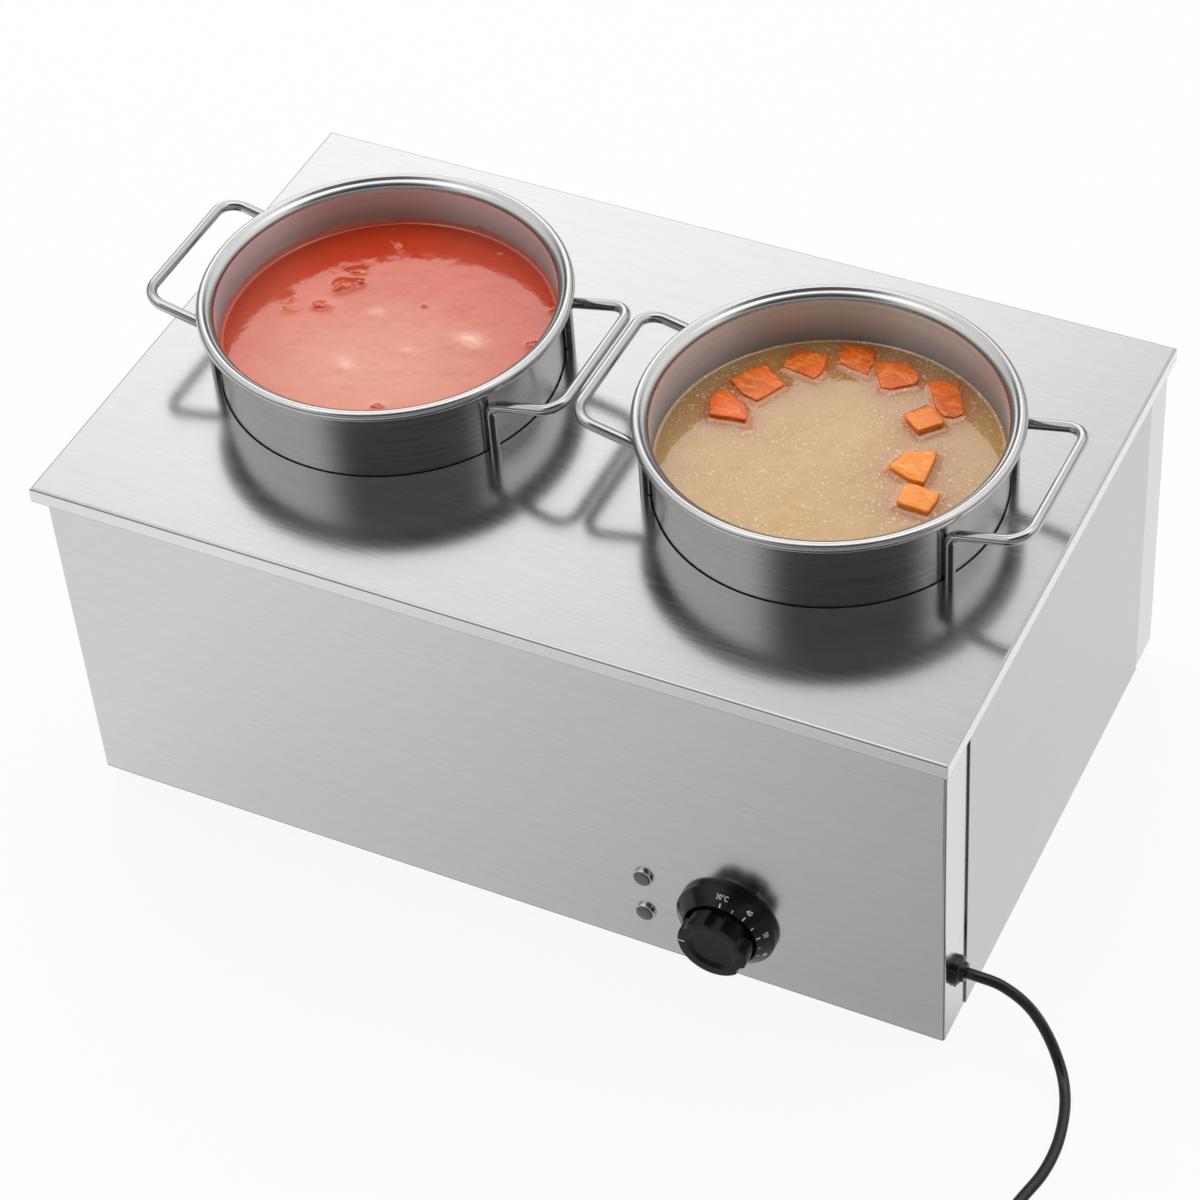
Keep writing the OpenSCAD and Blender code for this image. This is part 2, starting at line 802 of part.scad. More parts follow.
module upper_lamp_bezel() { color(bright_steel) at_lamp(1) lamp_bezel(); }
module upper_lamp_lens() { color(smoke) at_lamp(1) lamp_lens(); }
module upper_lamp_body() { color(cream) at_lamp(1) lamp_body(); }
module upper_lamp_nut() { color(bright_steel) at_lamp(1) lamp_nut(); }
module lower_lamp_bezel() { color(bright_steel) at_lamp(-1) lamp_bezel(); }
module lower_lamp_lens() { color(smoke) at_lamp(-1) lamp_lens(); }
module lower_lamp_body() { color(cream) at_lamp(-1) lamp_body(); }
module lower_lamp_nut() { color(bright_steel) at_lamp(-1) lamp_nut(); }

// Terminal block on the base plate

module terminal_block() {
    color(cream) place() translate([term_x, term_y, base_z + sheet]) difference() {
        union() {
            translate([-term_l / 2, -term_w / 2, 0]) cube([term_l, term_w, term_h]);
            translate([-term_l / 2 - term_ear, -term_w / 2, 0])
                cube([term_l + 2 * term_ear, term_w, term_ear_h]);
        }
        for (i = [0 : term_poles - 1])
            translate([(i - (term_poles - 1) / 2) * term_l / term_poles, 0, term_h - term_well_h])
                cylinder(d = term_well_d, h = term_well_h + over);
    }
}

// Gland, and the cord's end inside the cabinet

module cord_gland() {
    color(black) place() on_flange() difference() {
        rotate_extrude() {
            translate([0, -gland_body_l]) square([gland_body_d / 2, gland_body_l + gland_out - over]);
            square([snout_d / 2, gland_out]);
            square([gland_d / 2, gland_flange_h - gland_round]);
            square([gland_d / 2 - gland_round, gland_flange_h]);
            translate([gland_d / 2 - gland_round, gland_flange_h - gland_round]) circle(gland_round);
        }
        translate([0, 0, -gland_body_l - over])
            cylinder(d = cord_d + fit, h = gland_body_l + gland_out + 2 * over);
    }
}

module gland_nut() {
    color(black) place() on_flange() translate([0, 0, -sheet - gland_nut_h]) difference() {
        hex(gland_nut_af, gland_nut_h);
        translate([0, 0, -over]) cylinder(d = gland_body_d + fit, h = gland_nut_h + 2 * over);
    }
}

module cord_tail() {
    y0 = front_y + flange / 2;
    z0 = cab_z + gland_h;
    x1 = cab_w / 2 - gland_body_l;
    clip = [x1 - tail_end, y0, z0];
    face = [term_x, term_y - term_w / 2, base_z + sheet + term_h / 2];
    turn = face - [0, tail_end, 0];
    bent = smooth([[cab_w / 2 + gland_out, y0, z0], [x1, y0, z0], clip, (clip + turn) / 2, turn],
        tail_steps);
    color(black) place() tube(concat(bent, [face - [0, fit, 0]]), cord_d - fit, cord_sides);
}

// Swept cord: rings of points square to the route, joined by triangles

function unit(v) = v / norm(v);
function tangent(p, i) = unit(p[min(i + 1, len(p) - 1)] - p[max(i - 1, 0)]);
function across(t) = unit(cross([0, 0, 1], t));
function ring(p, i, d, n) = let (t = tangent(p, i), a = across(t), b = cross(t, a))
    [for (k = [0 : n - 1]) p[i] + d / 2 * (cos(360 * (k + 0.5) / n) * a + sin(360 * (k + 0.5) / n) * b)];

module tube(p, d, n) {
    m = len(p);
    points = [for (i = [0 : m - 1]) each ring(p, i, d, n)];
    sides = [for (i = [0 : m - 2], k = [0 : n - 1]) let (a = i * n + k, b = i * n + (k + 1) % n)
        each [[a, a + n, b], [b, a + n, b + n]]];
    last = (m - 1) * n;
    caps = [for (k = [1 : n - 2]) each [[0, k, k + 1], [last, last + k + 1, last + k]]];
    polyhedron(points, concat(sides, caps));
}

// Smooth curve through the points of a route, with the same number of steps between each pair
function blend(a, b, c, d, t) = 0.5 * (2 * b + (c - a) * t + (2 * a - 5 * b + 4 * c - d) * t * t
    + (3 * b - a - 3 * c + d) * t * t * t);
function smooth(p, n) = [for (i = [0 : len(p) - 2], k = [0 : n - 1])
    blend(p[max(i - 1, 0)], p[i], p[i + 1], p[min(i + 2, len(p) - 1)], k / n), p[len(p) - 1]];

module power_cord() {
    laid = [for (p = smooth(route, 2)) [p[0], p[1], max(p[2], cord_low)]];
    color(black) tube(laid, cord_d, cord_sides);
}

// Coil: the cord spirals in on the lower layer, climbs where the spiral turns round and spirals out again
function coil_u(i) = i / coil_rings;
function coil_in(u) = min(u, 2 * coil_turns - u);
function coil_up(u) = let (s = (u - coil_turns) * 2 + 0.5) s < 0 ? 0 : s > 1 ? 1 : s;
function coil_point(u) = let (r = coil_r - coil_step * coil_in(u)) [coil_at[0] + r * cos(-360 * u),
    coil_at[1] + r * sin(-360 * u), coil_z + coil_step * coil_up(u)];
coil_start = [coil_at[0] + coil_r, coil_at[1], coil_z];
coil_end = coil_start + [0, 0, coil_step];
coil_path = concat([coil_start + [0, cord_d, 0]],
    [for (i = [0 : 2 * coil_turns * coil_rings]) coil_point(coil_u(i))], [coil_end - [0, cord_d, 0]]);
coil_gap = min([for (i = [0 : len(coil_path) - 1], j = [i + coil_rings / 2 : 1 : len(coil_path) - 1])
    norm(coil_path[i] - coil_path[j])]) - cord_d;
echo(least_gap_of_the_coil = coil_gap);

module cord_coil() { color(black) tube(coil_path, cord_d, coil_sides); }

module plug_lead() {
    a = coil_end - [0, cord_d, 0];
    color(black) tube([a, a - [0, lead_l / 2, 0], a - [0, lead_l, 0]], cord_d, cord_sides);
}

module cord_tie() {
    r_in = coil_r - coil_step * (coil_turns - tie_share) - cord_d / 2 - tie_room;
    r_out = coil_r - coil_step * tie_share + cord_d / 2 + tie_room;
    w = r_out - r_in;
    h = coil_step + cord_d + 2 * tie_room;
    color(black) translate([coil_at[0], coil_at[1], tie_t]) rotate([0, 0, tie_angle])
        translate([r_in + w / 2, tie_w / 2, h / 2]) rotate([90, 0, 0]) linear_extrude(tie_w)
            difference() {
                round_rect(w + 2 * tie_t, h + 2 * tie_t, 2 * tie_t);
                round_rect(w, h, tie_t);
            }
}

// Moulded plug: the side view and the top view of the body, cut out of one another

plug_at = coil_end - [0, cord_d + lead_l, 0];

module plug_outline(w) {
    y1 = plug_relief_l + plug_neck_l + plug_l;
    polygon([[-plug_neck_w / 2, plug_relief_l], [plug_neck_w / 2, plug_relief_l],
        [w / 2, plug_relief_l + plug_neck_l], [w / 2, y1 - plug_face_l],
        [w / 2 - plug_round / 2, y1], [-w / 2 + plug_round / 2, y1], [-w / 2, y1 - plug_face_l],
        [-w / 2, plug_relief_l + plug_neck_l]]);
}

module plug_body() {
    half = max(plug_w, plug_h);
    rib = plug_relief_l / (2 * plug_ribs + 1);
    color(black) translate(plug_at) mirror([0, 1, 0]) difference() {
        union() {
            intersection() {
                translate([0, 0, -half]) linear_extrude(2 * half) plug_outline(plug_w);
                rotate([0, 90, 0]) translate([0, 0, -half]) linear_extrude(2 * half) plug_outline(plug_h);
                rotate([-90, 0, 0]) linear_extrude(plug_relief_l + plug_neck_l + plug_l)
                    round_rect(plug_w, plug_h, plug_round);
            }
            rotate([-90, 0, 0]) cylinder(d = cord_d + 2 * fit, h = plug_relief_l + over);
            for (i = [0 : plug_ribs]) translate([0, 2 * i * rib, 0]) rotate([-90, 0, 0])
                cylinder(d = plug_relief_d, h = i == plug_ribs ? rib + over : rib);
        }
        plug_pin_shapes(fit / 2);
    }
}

module plug_pin_shapes(room) {
    y1 = plug_relief_l + plug_neck_l + plug_l;
    for (s = [-1, 1])
        translate([s * prong_pitch / 2 - prong_t / 2 - room, y1 - pin_root - room,
            prong_up - prong_w / 2 - room])
            cube([prong_t + 2 * room, prong_l + pin_root + room, prong_w + 2 * room]);
    translate([0, y1 - pin_root - room, prong_up - earth_down]) rotate([-90, 0, 0])
        cylinder(d = earth_d + 2 * room, h = earth_l + pin_root + room);
}

module plug_pins() { color(brass) translate(plug_at) mirror([0, 1, 0]) plug_pin_shapes(0); }

// Pots

module pot_shell() {
    z_low = plate_top - pot_down;
    z_top = plate_top + pot_up;
    bead_z = z_top - bead_r;
    lip_z = z_top - bead_r / 2 - lip_r - pot_wall;
    rotate_extrude($fn = 180) {
        translate([0, z_low]) square([pot_r - pot_corner, pot_wall]);
        translate([pot_r - pot_corner, z_low + pot_corner]) mirror([0, 1])
            quarter(pot_corner, pot_corner - pot_wall);
        translate([pot_r - pot_wall, z_low + pot_corner]) square([pot_wall, lip_z - z_low - pot_corner]);
        translate([pot_r + lip_r, lip_z]) mirror([1, 0]) quarter(lip_r + pot_wall, lip_r);
        translate([rim_r - bead_r, bead_z]) circle(bead_r);
    }
}

// One bent rod: two legs, two rising arms and the outer bar, on the +X side of a pot
module pot_handle() {
    straight = grip_half - bar_bend;
    translate([0, 0, plate_top]) {
        for (s = [-1, 1]) translate([0, s * grip_half, 0]) {
            translate([leg_x, 0, 0]) cylinder(d = rod_d, h = leg_h - leg_tan);
            translate([leg_x, 0, leg_h - leg_tan]) rod_seam();
            translate([leg_x + leg_bend, 0, leg_h - leg_tan]) rotate([90, 0, 0])
                rotate([0, 0, 90 + slope]) rotate_extrude(angle = 90 - slope)
                    translate([leg_bend, 0]) circle(d = rod_d);
        }
        translate([leg_x, 0, leg_h]) rotate([0, -slope, 0]) {
            for (s = [-1, 1]) {
                translate([leg_tan, s * grip_half, 0]) rotate([0, 90, 0]) {
                    cylinder(d = rod_d, h = arm_l - bar_bend - leg_tan);
                    rod_seam();
                    translate([0, 0, arm_l - bar_bend - leg_tan]) rod_seam();
                }
                translate([arm_l, s * straight, 0]) rotate([90, 0, 0]) rod_seam();
                translate([arm_l - bar_bend, s * straight, 0]) rotate([0, 0, s > 0 ? 0 : -90])
                    rotate_extrude(angle = 90) translate([bar_bend, 0]) circle(d = rod_d);
            }
            translate([arm_l, -straight, 0]) rotate([-90, 0, 0]) cylinder(d = rod_d, h = 2 * straight);
        }
    }
}

// Fine seam round a rod where a straight and a bent length meet
module rod_seam() { translate([0, 0, -seam_w / 2]) cylinder(d = rod_d + seam_up, h = seam_w); }

module at_pot(s) { place() translate([s * pot_pitch / 2, -pot_fore, 0]) children(); }

module left_pot_shell() { color(bright_steel) at_pot(-1) pot_shell(); }
module left_pot_outer_handle() { color(bright_steel) at_pot(-1) mirror([1, 0, 0]) pot_handle(); }
module left_pot_inner_handle() { color(bright_steel) at_pot(-1) pot_handle(); }
module right_pot_shell() { color(bright_steel) at_pot(1) pot_shell(); }
module right_pot_inner_handle() { color(bright_steel) at_pot(1) mirror([1, 0, 0]) pot_handle(); }
module right_pot_outer_handle() { color(bright_steel) at_pot(1) pot_handle(); }

front_panel();
back_panel();
left_panel();
right_panel();
base_plate();
base_screws();
feet();
foot_screws();
foot_nuts();
top_plate();
water_tank();
heating_element();
element_gaskets();
element_nuts();
element_saddles();
thermostat_body();
thermostat_screws();
dial_ring();
capillary();
sensor_bulb();
bulb_clips();
limit_cutout();
cutout_strap();
upper_lamp_bezel();
upper_lamp_lens();
upper_lamp_body();
upper_lamp_nut();
lower_lamp_bezel();
lower_lamp_lens();
lower_lamp_body();
lower_lamp_nut();
terminal_block();
cord_tail();
cord_gland();
gland_nut();
power_cord();
cord_coil();
cord_tie();
plug_lead();
plug_body();
plug_pins();
left_pot_shell();
left_pot_outer_handle();
left_pot_inner_handle();
right_pot_shell();
right_pot_inner_handle();
right_pot_outer_handle();
knob_grip();
knob_spindle();
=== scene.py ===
"""Looks of a two-pot soup station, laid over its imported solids: sheet finishes, spun pots, bent rods, soup and dial."""

import math

import bmesh
import bpy
from bpy.props import FloatProperty, FloatVectorProperty, IntProperty, PointerProperty
from mathutils import Matrix, Vector, noise


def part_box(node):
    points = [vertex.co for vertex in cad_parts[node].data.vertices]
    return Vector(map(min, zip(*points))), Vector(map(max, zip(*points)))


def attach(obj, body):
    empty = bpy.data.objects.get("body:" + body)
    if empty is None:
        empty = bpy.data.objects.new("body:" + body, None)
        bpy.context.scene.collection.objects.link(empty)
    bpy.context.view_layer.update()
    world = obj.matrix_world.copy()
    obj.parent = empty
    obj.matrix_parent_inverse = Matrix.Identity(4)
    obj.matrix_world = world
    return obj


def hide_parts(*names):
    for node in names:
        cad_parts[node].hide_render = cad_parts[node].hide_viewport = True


bl_info = {
    "name": "Soup station",
    "version": (1, 0, 0),
    "blender": (4, 5, 0),
    "location": "View3D > Sidebar > Soup station",
    "description": "Dresses the packed solids of a two-pot soup station",
    "category": "Object",
}

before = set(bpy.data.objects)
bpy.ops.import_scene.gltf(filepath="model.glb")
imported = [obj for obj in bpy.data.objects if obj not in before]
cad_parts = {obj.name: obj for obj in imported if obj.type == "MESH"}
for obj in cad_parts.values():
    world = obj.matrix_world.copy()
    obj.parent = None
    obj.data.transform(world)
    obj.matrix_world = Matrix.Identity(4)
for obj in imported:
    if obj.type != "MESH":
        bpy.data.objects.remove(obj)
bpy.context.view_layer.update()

X, Y, Z = Vector((1, 0, 0)), Vector((0, 1, 0)), Vector((0, 0, 1))
MM = 0.001
FULL_TURN = 2 * math.pi
SIDES = ("left", "right")


def middle(node):
    """Middle of a solid's box."""
    low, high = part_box(node)
    return (low + high) / 2


# Places taken from the solids
PLATE_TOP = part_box("top_plate")[1].z
FRONT_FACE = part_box("front_panel")[0].y
DIAL = middle("dial_ring")

# Sizes that the finer meshes share with the solids, in m
POT_INSIDE, POT_OUTSIDE, POT_SHEET = 0.1063, 0.1073, 0.001
POT_BOTTOM, POT_LIP = PLATE_TOP - 0.150, PLATE_TOP + 0.05025
POT_CORNER = 0.013
ROD_RADIUS = CORD_RADIUS = 0.0035
GLAND_FACE = Vector((0.296, -0.15765, 0.062))
# Foot and top of the dial's slope, each as radius and distance out of the panel
DIAL_FOOT, DIAL_TOP = (0.0328, 0.004), (0.0247, 0.0122)

# Width of the camera's sensor in mm, and shift of its frame in frame widths
SENSOR_WIDTH, FRAME_SHIFT = 36.0, (-0.0531, -0.0247)

# Points that the mains cord follows from the gland to the coil, the coil, and the lead to the plug, in mm
CORD_ROUTE = ((303.5, -157.65, 62), (310.5, -157.65, 62), (325, -156, 58.5), (340, -155, 48), (351.5, -155, 32),
              (362, -159.5, 16), (371.5, -170.5, 6), (379, -189, 3.5), (383.5, -213, 3.5), (383, -236, 3.5),
              (377.5, -260, 3.5), (373, -285, 3.5), (371, -315, 4), (371, -344, 4.6), (371, -351, 4.6))
COIL_CENTRE, COIL_RADIUS, COIL_PITCH = (320.5, -358), 50.5, 7.5
COIL_TURNS, COIL_STEPS = 6, 36
COIL_LOW, COIL_LAYER = 4.6, 7.5
PLUG_LEAD = ((371, -365, 12.1), (371, -389, 12.1), (371, -413, 12.1))

# Points this far below a soup's level still belong to its top
SOUP_SKIN = 0.002
# Middle of the pale cloud of painted sheen on the tomato soup from the left pot's axis, and distances where the cloud
# ends and where it is full, in m
PAINTED_SHEEN_PLACE, PAINTED_SHEEN_END, PAINTED_SHEEN_FULL = (0.010, -0.042), 0.120, 0.010

# Carrot pieces: height over the broth (mm), slopes along x and y, paleness (a painted sheen, high on the front
# pieces), corners of the top from the right pot's axis (mm)
CARROTS = (
    (3.6, 0.02, -0.03, 0.10, (
        (-84.9, 29.9), (-79.3, 30.4), (-66.4, 22.9), (-60.6, 17.6), (-57, 7), (-66, 6.1), (-81.4, 4), (-87.2, 19.1))),
    (3.2, -0.03, 0.03, 0.20, (
        (-67.5, 59.9), (-62.1, 55.7), (-49.4, 47.3), (-58.9, 27), (-70.5, 29.3), (-83.2, 38.3), (-77.5, 47.7))),
    (2.6, 0.02, 0.04, 0.12, (
        (-54.3, 81.2), (-35, 81.8), (-32.3, 65.9), (-35.4, 59.3), (-58, 62.6), (-58.7, 69.5))),
    (2.6, -0.04, 0.02, 0.05, (
        (-30.6, 95.1), (-14.5, 99), (-9.8, 96.2), (-7, 86.6), (-6.6, 74.4), (-27.5, 78.4), (-29.7, 84.7))),
    (2.8, 0.03, 0.03, 0.15, (
        (-6.3, 88), (12.1, 94.3), (24.7, 83.5), (24.9, 77.3), (10.4, 67.2), (4.8, 66.7), (-5.5, 81.9))),
    (2.2, -0.03, -0.02, 0.10, (
        (30.1, 82.5), (34.4, 86.8), (47.7, 89.6), (55.6, 74.5), (61.2, 62.8), (56.8, 57.6), (51, 55.9), (43.3, 61.2),
        (37.9, 68.8))),
    (4.4, 0.05, -0.06, 0.55, (
        (27.5, 48.7), (39.1, 62.6), (42.5, 60.9), (54.6, 49.1), (42.5, 35.9), (31, 43.5))),
    (4.4, 0.06, 0.03, 0.80, (
        (36.1, 2.1), (40.4, 18.5), (48.1, 20.9), (59.5, 24.3), (61.4, 17.4), (62.7, -4.7), (51.5, -4.2))),
    (4.0, -0.03, -0.05, 0.85, (
        (52.8, -26.1), (51.3, -8), (56.2, -5.3), (74, -7.5), (75.4, -13.2), (74.2, -26.8), (67.5, -27))))
CARROT_DEPTH, CARROT_SEED = 13, 3
# The broth's orange glow ends this far from a carrot, and no carrot is longer than this (mm)
GLOW_END, CARROT_LENGTH = 30.0, 36.0

# Pieces of vegetable in the left pot from its axis: x, y, length, width, height over the soup (mm), turn (degrees)
LUMPS = ((-47, 27, 16, 11, 2.8, 35), (-40, 33, 10, 7, 2.2, 10), (-46, 43, 13, 6, 1.8, 20), (-51, 5, 15, 7, 2.0, 15),
         (-74, 3, 12, 7, 1.4, 60), (-68, -5, 13, 7, 0.9, 20), (-36, 77, 12, 7, 1.0, -25), (30, 93, 6, 4, 0.8, 30),
         (86, 56, 8, 5, 1.8, 70), (88, 21, 9, 5, 1.6, 40), (27, -66, 9, 6, 1.8, 15), (9, 29, 5, 3, 1.0, 0))

# Pieces that the tomato soup still covers, given in the same way
SUNK_LUMPS = ((52, 9, 20, 11, 1.3, -10), (-10, -40, 18, 8, 0.9, -30), (-16, 12, 12, 8, 0.5, 20),
              (20, -14, 14, 7, 0.5, 5))


def colour_property(name, description, value):
    return FloatVectorProperty(name=name, description=description, default=value, min=0, max=1, subtype="COLOR")


class StationSizes(bpy.types.PropertyGroup):
    """Sizes that a user may change without touching the solids."""

    tomato_level: FloatProperty(name="Tomato soup level", description="Height of the soup in the left pot",
                                default=0.2905, min=0.18, max=0.312, unit="LENGTH")
    broth_level: FloatProperty(name="Broth level", description="Height of the broth in the right pot",
                               default=0.286, min=0.18, max=0.312, unit="LENGTH")
    pot_facets: IntProperty(name="Pot facets", description="Steps round each pot", default=160, min=48, max=256)
    numeral_height: FloatProperty(name="Numeral height", description="Height of the numbers on the dial",
                                  default=0.0046, min=0.002, max=0.006, unit="LENGTH")
    camera_place: FloatVectorProperty(name="Camera place", description="Where the camera stands",
                                      default=(0.7908, -1.43985, 1.7345), subtype="TRANSLATION", unit="LENGTH")
    camera_azimuth: FloatProperty(name="Camera azimuth", description="Turn of the camera about the station",
                                  default=math.radians(27.68), subtype="ANGLE")
    camera_elevation: FloatProperty(name="Camera elevation", description="Height angle of the camera",
                                    default=math.radians(44.16), subtype="ANGLE")
    camera_roll: FloatProperty(name="Camera roll", description="Lean of the camera", default=math.radians(-3.8),
                               subtype="ANGLE")
    camera_lens: FloatProperty(name="Camera lens", description="Focal length on a 36 mm wide frame", default=107.886,
                               unit="CAMERA")


class StationColours(bpy.types.PropertyGroup):
    """Colours that a user may change, as linear values."""

    sheet: colour_property("Sheet steel", "Sheets of the cabinet", (0.66, 0.655, 0.65))
    plate: colour_property("Plate steel", "Top plate", (0.46, 0.457, 0.454))
    pot: colour_property("Pot steel", "Pots and handle rods", (0.62, 0.615, 0.61))
    tomato: colour_property("Tomato soup", "Body of the tomato soup", (0.53, 0.040, 0.007))
    broth: colour_property("Broth", "Body of the broth", (0.470, 0.262, 0.080))
    carrot: colour_property("Carrot", "Cut faces of the carrots", (0.79, 0.100, 0.003))
    plastic: colour_property("Black plastic", "Dial, grip, gland and plug", (0.007, 0.007, 0.0075))
    floor: colour_property("Floor", "Floor of the studio", (0.80, 0.80, 0.80))


# Finishes


class Signal:
    """A shader socket; arithmetic on it adds Math nodes."""

    def __init__(self, finish, socket):
        self.finish, self.socket = finish, socket

    def math(self, operation, *others):
        inputs = dict(enumerate((self,) + others))
        return self.finish.node("ShaderNodeMath", {"operation": operation}, inputs)

    def __add__(self, other):
        return self.math("ADD", other)

    def __mul__(self, other):
        return self.math("MULTIPLY", other)

    def __sub__(self, other):
        return self.math("SUBTRACT", other)

    def __rsub__(self, other):
        return (self * -1) + other

    def __pow__(self, other):
        return self.math("POWER", other)

    def clamped(self):
        return self.math("MINIMUM", 1).math("MAXIMUM", 0)


class Finish:
    """Node tree of one material, or of the world."""

    def __init__(self, owner):
        owner.use_nodes = True
        self.owner, self.tree = owner, owner.node_tree
        self.tree.nodes.clear()

    def node(self, kind, settings=None, inputs=None, output=0):
        """Adds a node: settings first, then the values or links of its sockets; gives the chosen output."""
        made = self.tree.nodes.new(kind)
        for name, value in (settings or {}).items():
            if name == "stops":
                ramp = made.color_ramp.elements
                while len(ramp) < len(value):
                    ramp.new(1)
                for stop, (place, shade) in zip(ramp, value):
                    stop.position, stop.color = place, shade
            else:
                setattr(made, name, value)
        for name, value in (inputs or {}).items():
            if isinstance(value, Signal):
                self.tree.links.new(value.socket, made.inputs[name])
            else:
                made.inputs[name].default_value = value
        return Signal(self, made.outputs[output]) if made.outputs else None

    def place(self, scale=(1, 1, 1), shift=(0, 0, 0), turn=(0, 0, 0)):
        """Object coordinates, moved and stretched."""
        there = self.node("ShaderNodeTexCoord", output="Object")
        return self.node("ShaderNodeMapping", {"vector_type": "POINT"},
                         {"Vector": there, "Location": shift, "Rotation": turn, "Scale": scale})

    def along(self, axis, vector=None):
        """One coordinate of a vector, or else of the object's own place."""
        return self.node("ShaderNodeSeparateXYZ", None, {"Vector": vector or self.place()}, axis)

    def ramp(self, value, start, end, smooth=False):
        """Goes from 0 to 1 while the value goes from start to end."""
        return self.node("ShaderNodeMapRange", {"interpolation_type": "SMOOTHSTEP" if smooth else "LINEAR"},
                         {"Value": value, "From Min": start, "From Max": end})

    def stored(self, name):
        """Value that the mesh keeps at its points."""
        return self.node("ShaderNodeAttribute", {"attribute_name": name}, None, "Fac")

    def grain(self, scale, detail=3.0, rough=0.6, shift=(0, 0, 0), distortion=0.0):
        """Noise over the piece, as fine as the scale says: one number, or one for each axis."""
        scale = scale if isinstance(scale, tuple) else (scale, scale, scale)
        return self.node("ShaderNodeTexNoise", None, {
            "Vector": self.place(scale, shift), "Scale": 1.0, "Detail": detail, "Roughness": rough,
            "Distortion": distortion})

    def blend(self, share, low, high):
        """Colour between two colours."""
        return self.node("ShaderNodeMix", {"data_type": "RGBA"}, {0: share, 6: low, 7: high}, output=2)

    def toned(self, colour, gain):
        """Colour times a varying gain."""
        return self.node("ShaderNodeVectorMath", {"operation": "SCALE"}, {0: colour, "Scale": gain})

    def bump(self, height, strength, distance):
        return self.node("ShaderNodeBump", None, {"Height": height, "Strength": strength, "Distance": distance})

    def surface(self, **inputs):
        """Principled surface; keys use underscores for spaces."""
        named = {key.replace("_", " "): value for key, value in inputs.items()}
        shader = self.node("ShaderNodeBsdfPrincipled", None, named)
        self.node("ShaderNodeOutputMaterial", None, {"Surface": shader})
        return self.owner


def opaque(colour, gain=1.0):
    return tuple(min(1.0, c * gain) for c in colour) + (1.0,)


def brushed_steel(name, colour, grain, rough, painted_bands=()):
    """Sheet steel with fine straight grain: low scale along the grain, high scale across it.

    Each painted band is (axis, start, end, gain): the steel's tone changes by the gain where that coordinate goes from
    start to end. The bands are painted light and shade: painted shade lines along folded edges, and a skirt painted
    lighter."""
    f = Finish(bpy.data.materials.new(name))
    fine = f.grain(grain, 4.0, 0.65)
    broad = f.grain(tuple(g * 0.12 for g in grain), 2.0, 0.5, (3.1, 1.7, 0.4))
    dash = f.grain(tuple(min(g * 14, 460.0) for g in grain), 2.0, 0.6, (0.7, 4.1, 2.2))
    cloud = f.grain(3.0, 2.0, 0.5, (0.3, 5.2, 1.9))
    tone = (fine * 0.45 + broad * 0.1 + dash * 0.45 - 0.5) * 0.24 + (cloud - 0.5) * 0.05 + 1
    # Painted shade and painted light along the edges, from the painted bands
    for axis, start, end, gain in painted_bands:
        tone = tone * (f.ramp(f.along(axis), start, end) * (gain - 1) + 1)
    return f.surface(Base_Color=f.toned(tuple(colour), tone), Metallic=1.0,
                     Roughness=(fine - 0.5) * 0.10 + (dash - 0.5) * 0.03 + (cloud - 0.5) * 0.04 + rough,
                     Normal=f.bump(fine * 0.6 + broad * 0.4, 0.05, 0.0006))


def turned_steel(name, colour, rough, sheen, painted_shade_heights=None):
    """Pot walls: fine rings round the pot, with a few broader ones, whose sheen spreads up and down the wall.

    Between the two painted shade heights the wall's colour goes from darker to brighter: painted shade on the wall
    near the soup."""
    f = Finish(bpy.data.materials.new(name))
    rings = f.grain((9.0, 9.0, 900.0), 4.0, 0.65)
    bands = f.grain((4.0, 4.0, 260.0), 2.0, 0.5, (1.3, 2.2, 0.7))
    marks = f.grain((70.0, 70.0, 420.0), 2.0, 0.5, (7.1, 0.2, 3.7))
    shade = f.blend((rings * 0.6 + bands * 0.4).clamped(), opaque(colour, 0.72), opaque(colour, 1.22))
    if painted_shade_heights:
        # Painted shade: the wall's colour is darker near the soup and brighter towards the lip
        shade = f.toned(shade, f.ramp(f.along(2), *painted_shade_heights) * 0.66 + 0.57)
    return f.surface(Base_Color=shade, Metallic=1.0, Anisotropic=sheen, Anisotropic_Rotation=0.25,
                     Roughness=(rings - 0.5) * 0.12 + (bands - 0.5) * 0.08 + (marks - 0.5) * 0.05 + rough,
                     Normal=f.bump(rings * 0.5 + bands * 0.5, 0.03, 0.0004))


def polished_steel(name, colour, rough=0.10):
    """Rods and rolled rims: bright, with light polishing marks."""
    f = Finish(bpy.data.materials.new(name))
    marks = f.grain(260.0)
    wear = f.grain(38.0, 2.0, 0.5, (2.0, 0.0, 1.0))
    shade = f.blend(wear.clamped(), opaque(colour, 0.94), opaque(colour, 1.08))
    return f.surface(Base_Color=shade, Metallic=1.0, Roughness=(marks - 0.5) * 0.06 + (wear - 0.5) * 0.08 + rough,
                     Normal=f.bump(marks, 0.02, 0.0004))


def moulded(name, colour, rough, texture=0.06, coat=0.0, ior=1.30):
    """Moulded plastic or rubber: fine spark texture and a few worn, shinier places."""
    f = Finish(bpy.data.materials.new(name))
    spark = f.grain(1400.0, 2.0, 0.5)
    wear = f.grain(90.0, shift=(4.0, 1.0, 2.0))
    shade = f.blend(wear.clamped(), opaque(colour, 0.85), opaque(colour, 1.25))
    return f.surface(Base_Color=shade, Roughness=(wear - 0.5) * 0.14 + (spark - 0.5) * 0.06 + rough,
                     IOR=ior, Coat_Weight=coat, Coat_Roughness=0.12, Normal=f.bump(spark, texture, 0.0002))


def painted(name, colour, rough=0.5):
    """Printed or inlaid marks: a slightly uneven film."""
    f = Finish(bpy.data.materials.new(name))
    film = f.grain(900.0, 2.0, 0.5)
    return f.surface(Base_Color=f.blend(film, opaque(colour, 0.88), opaque(colour)), Roughness=film * 0.1 + rough)


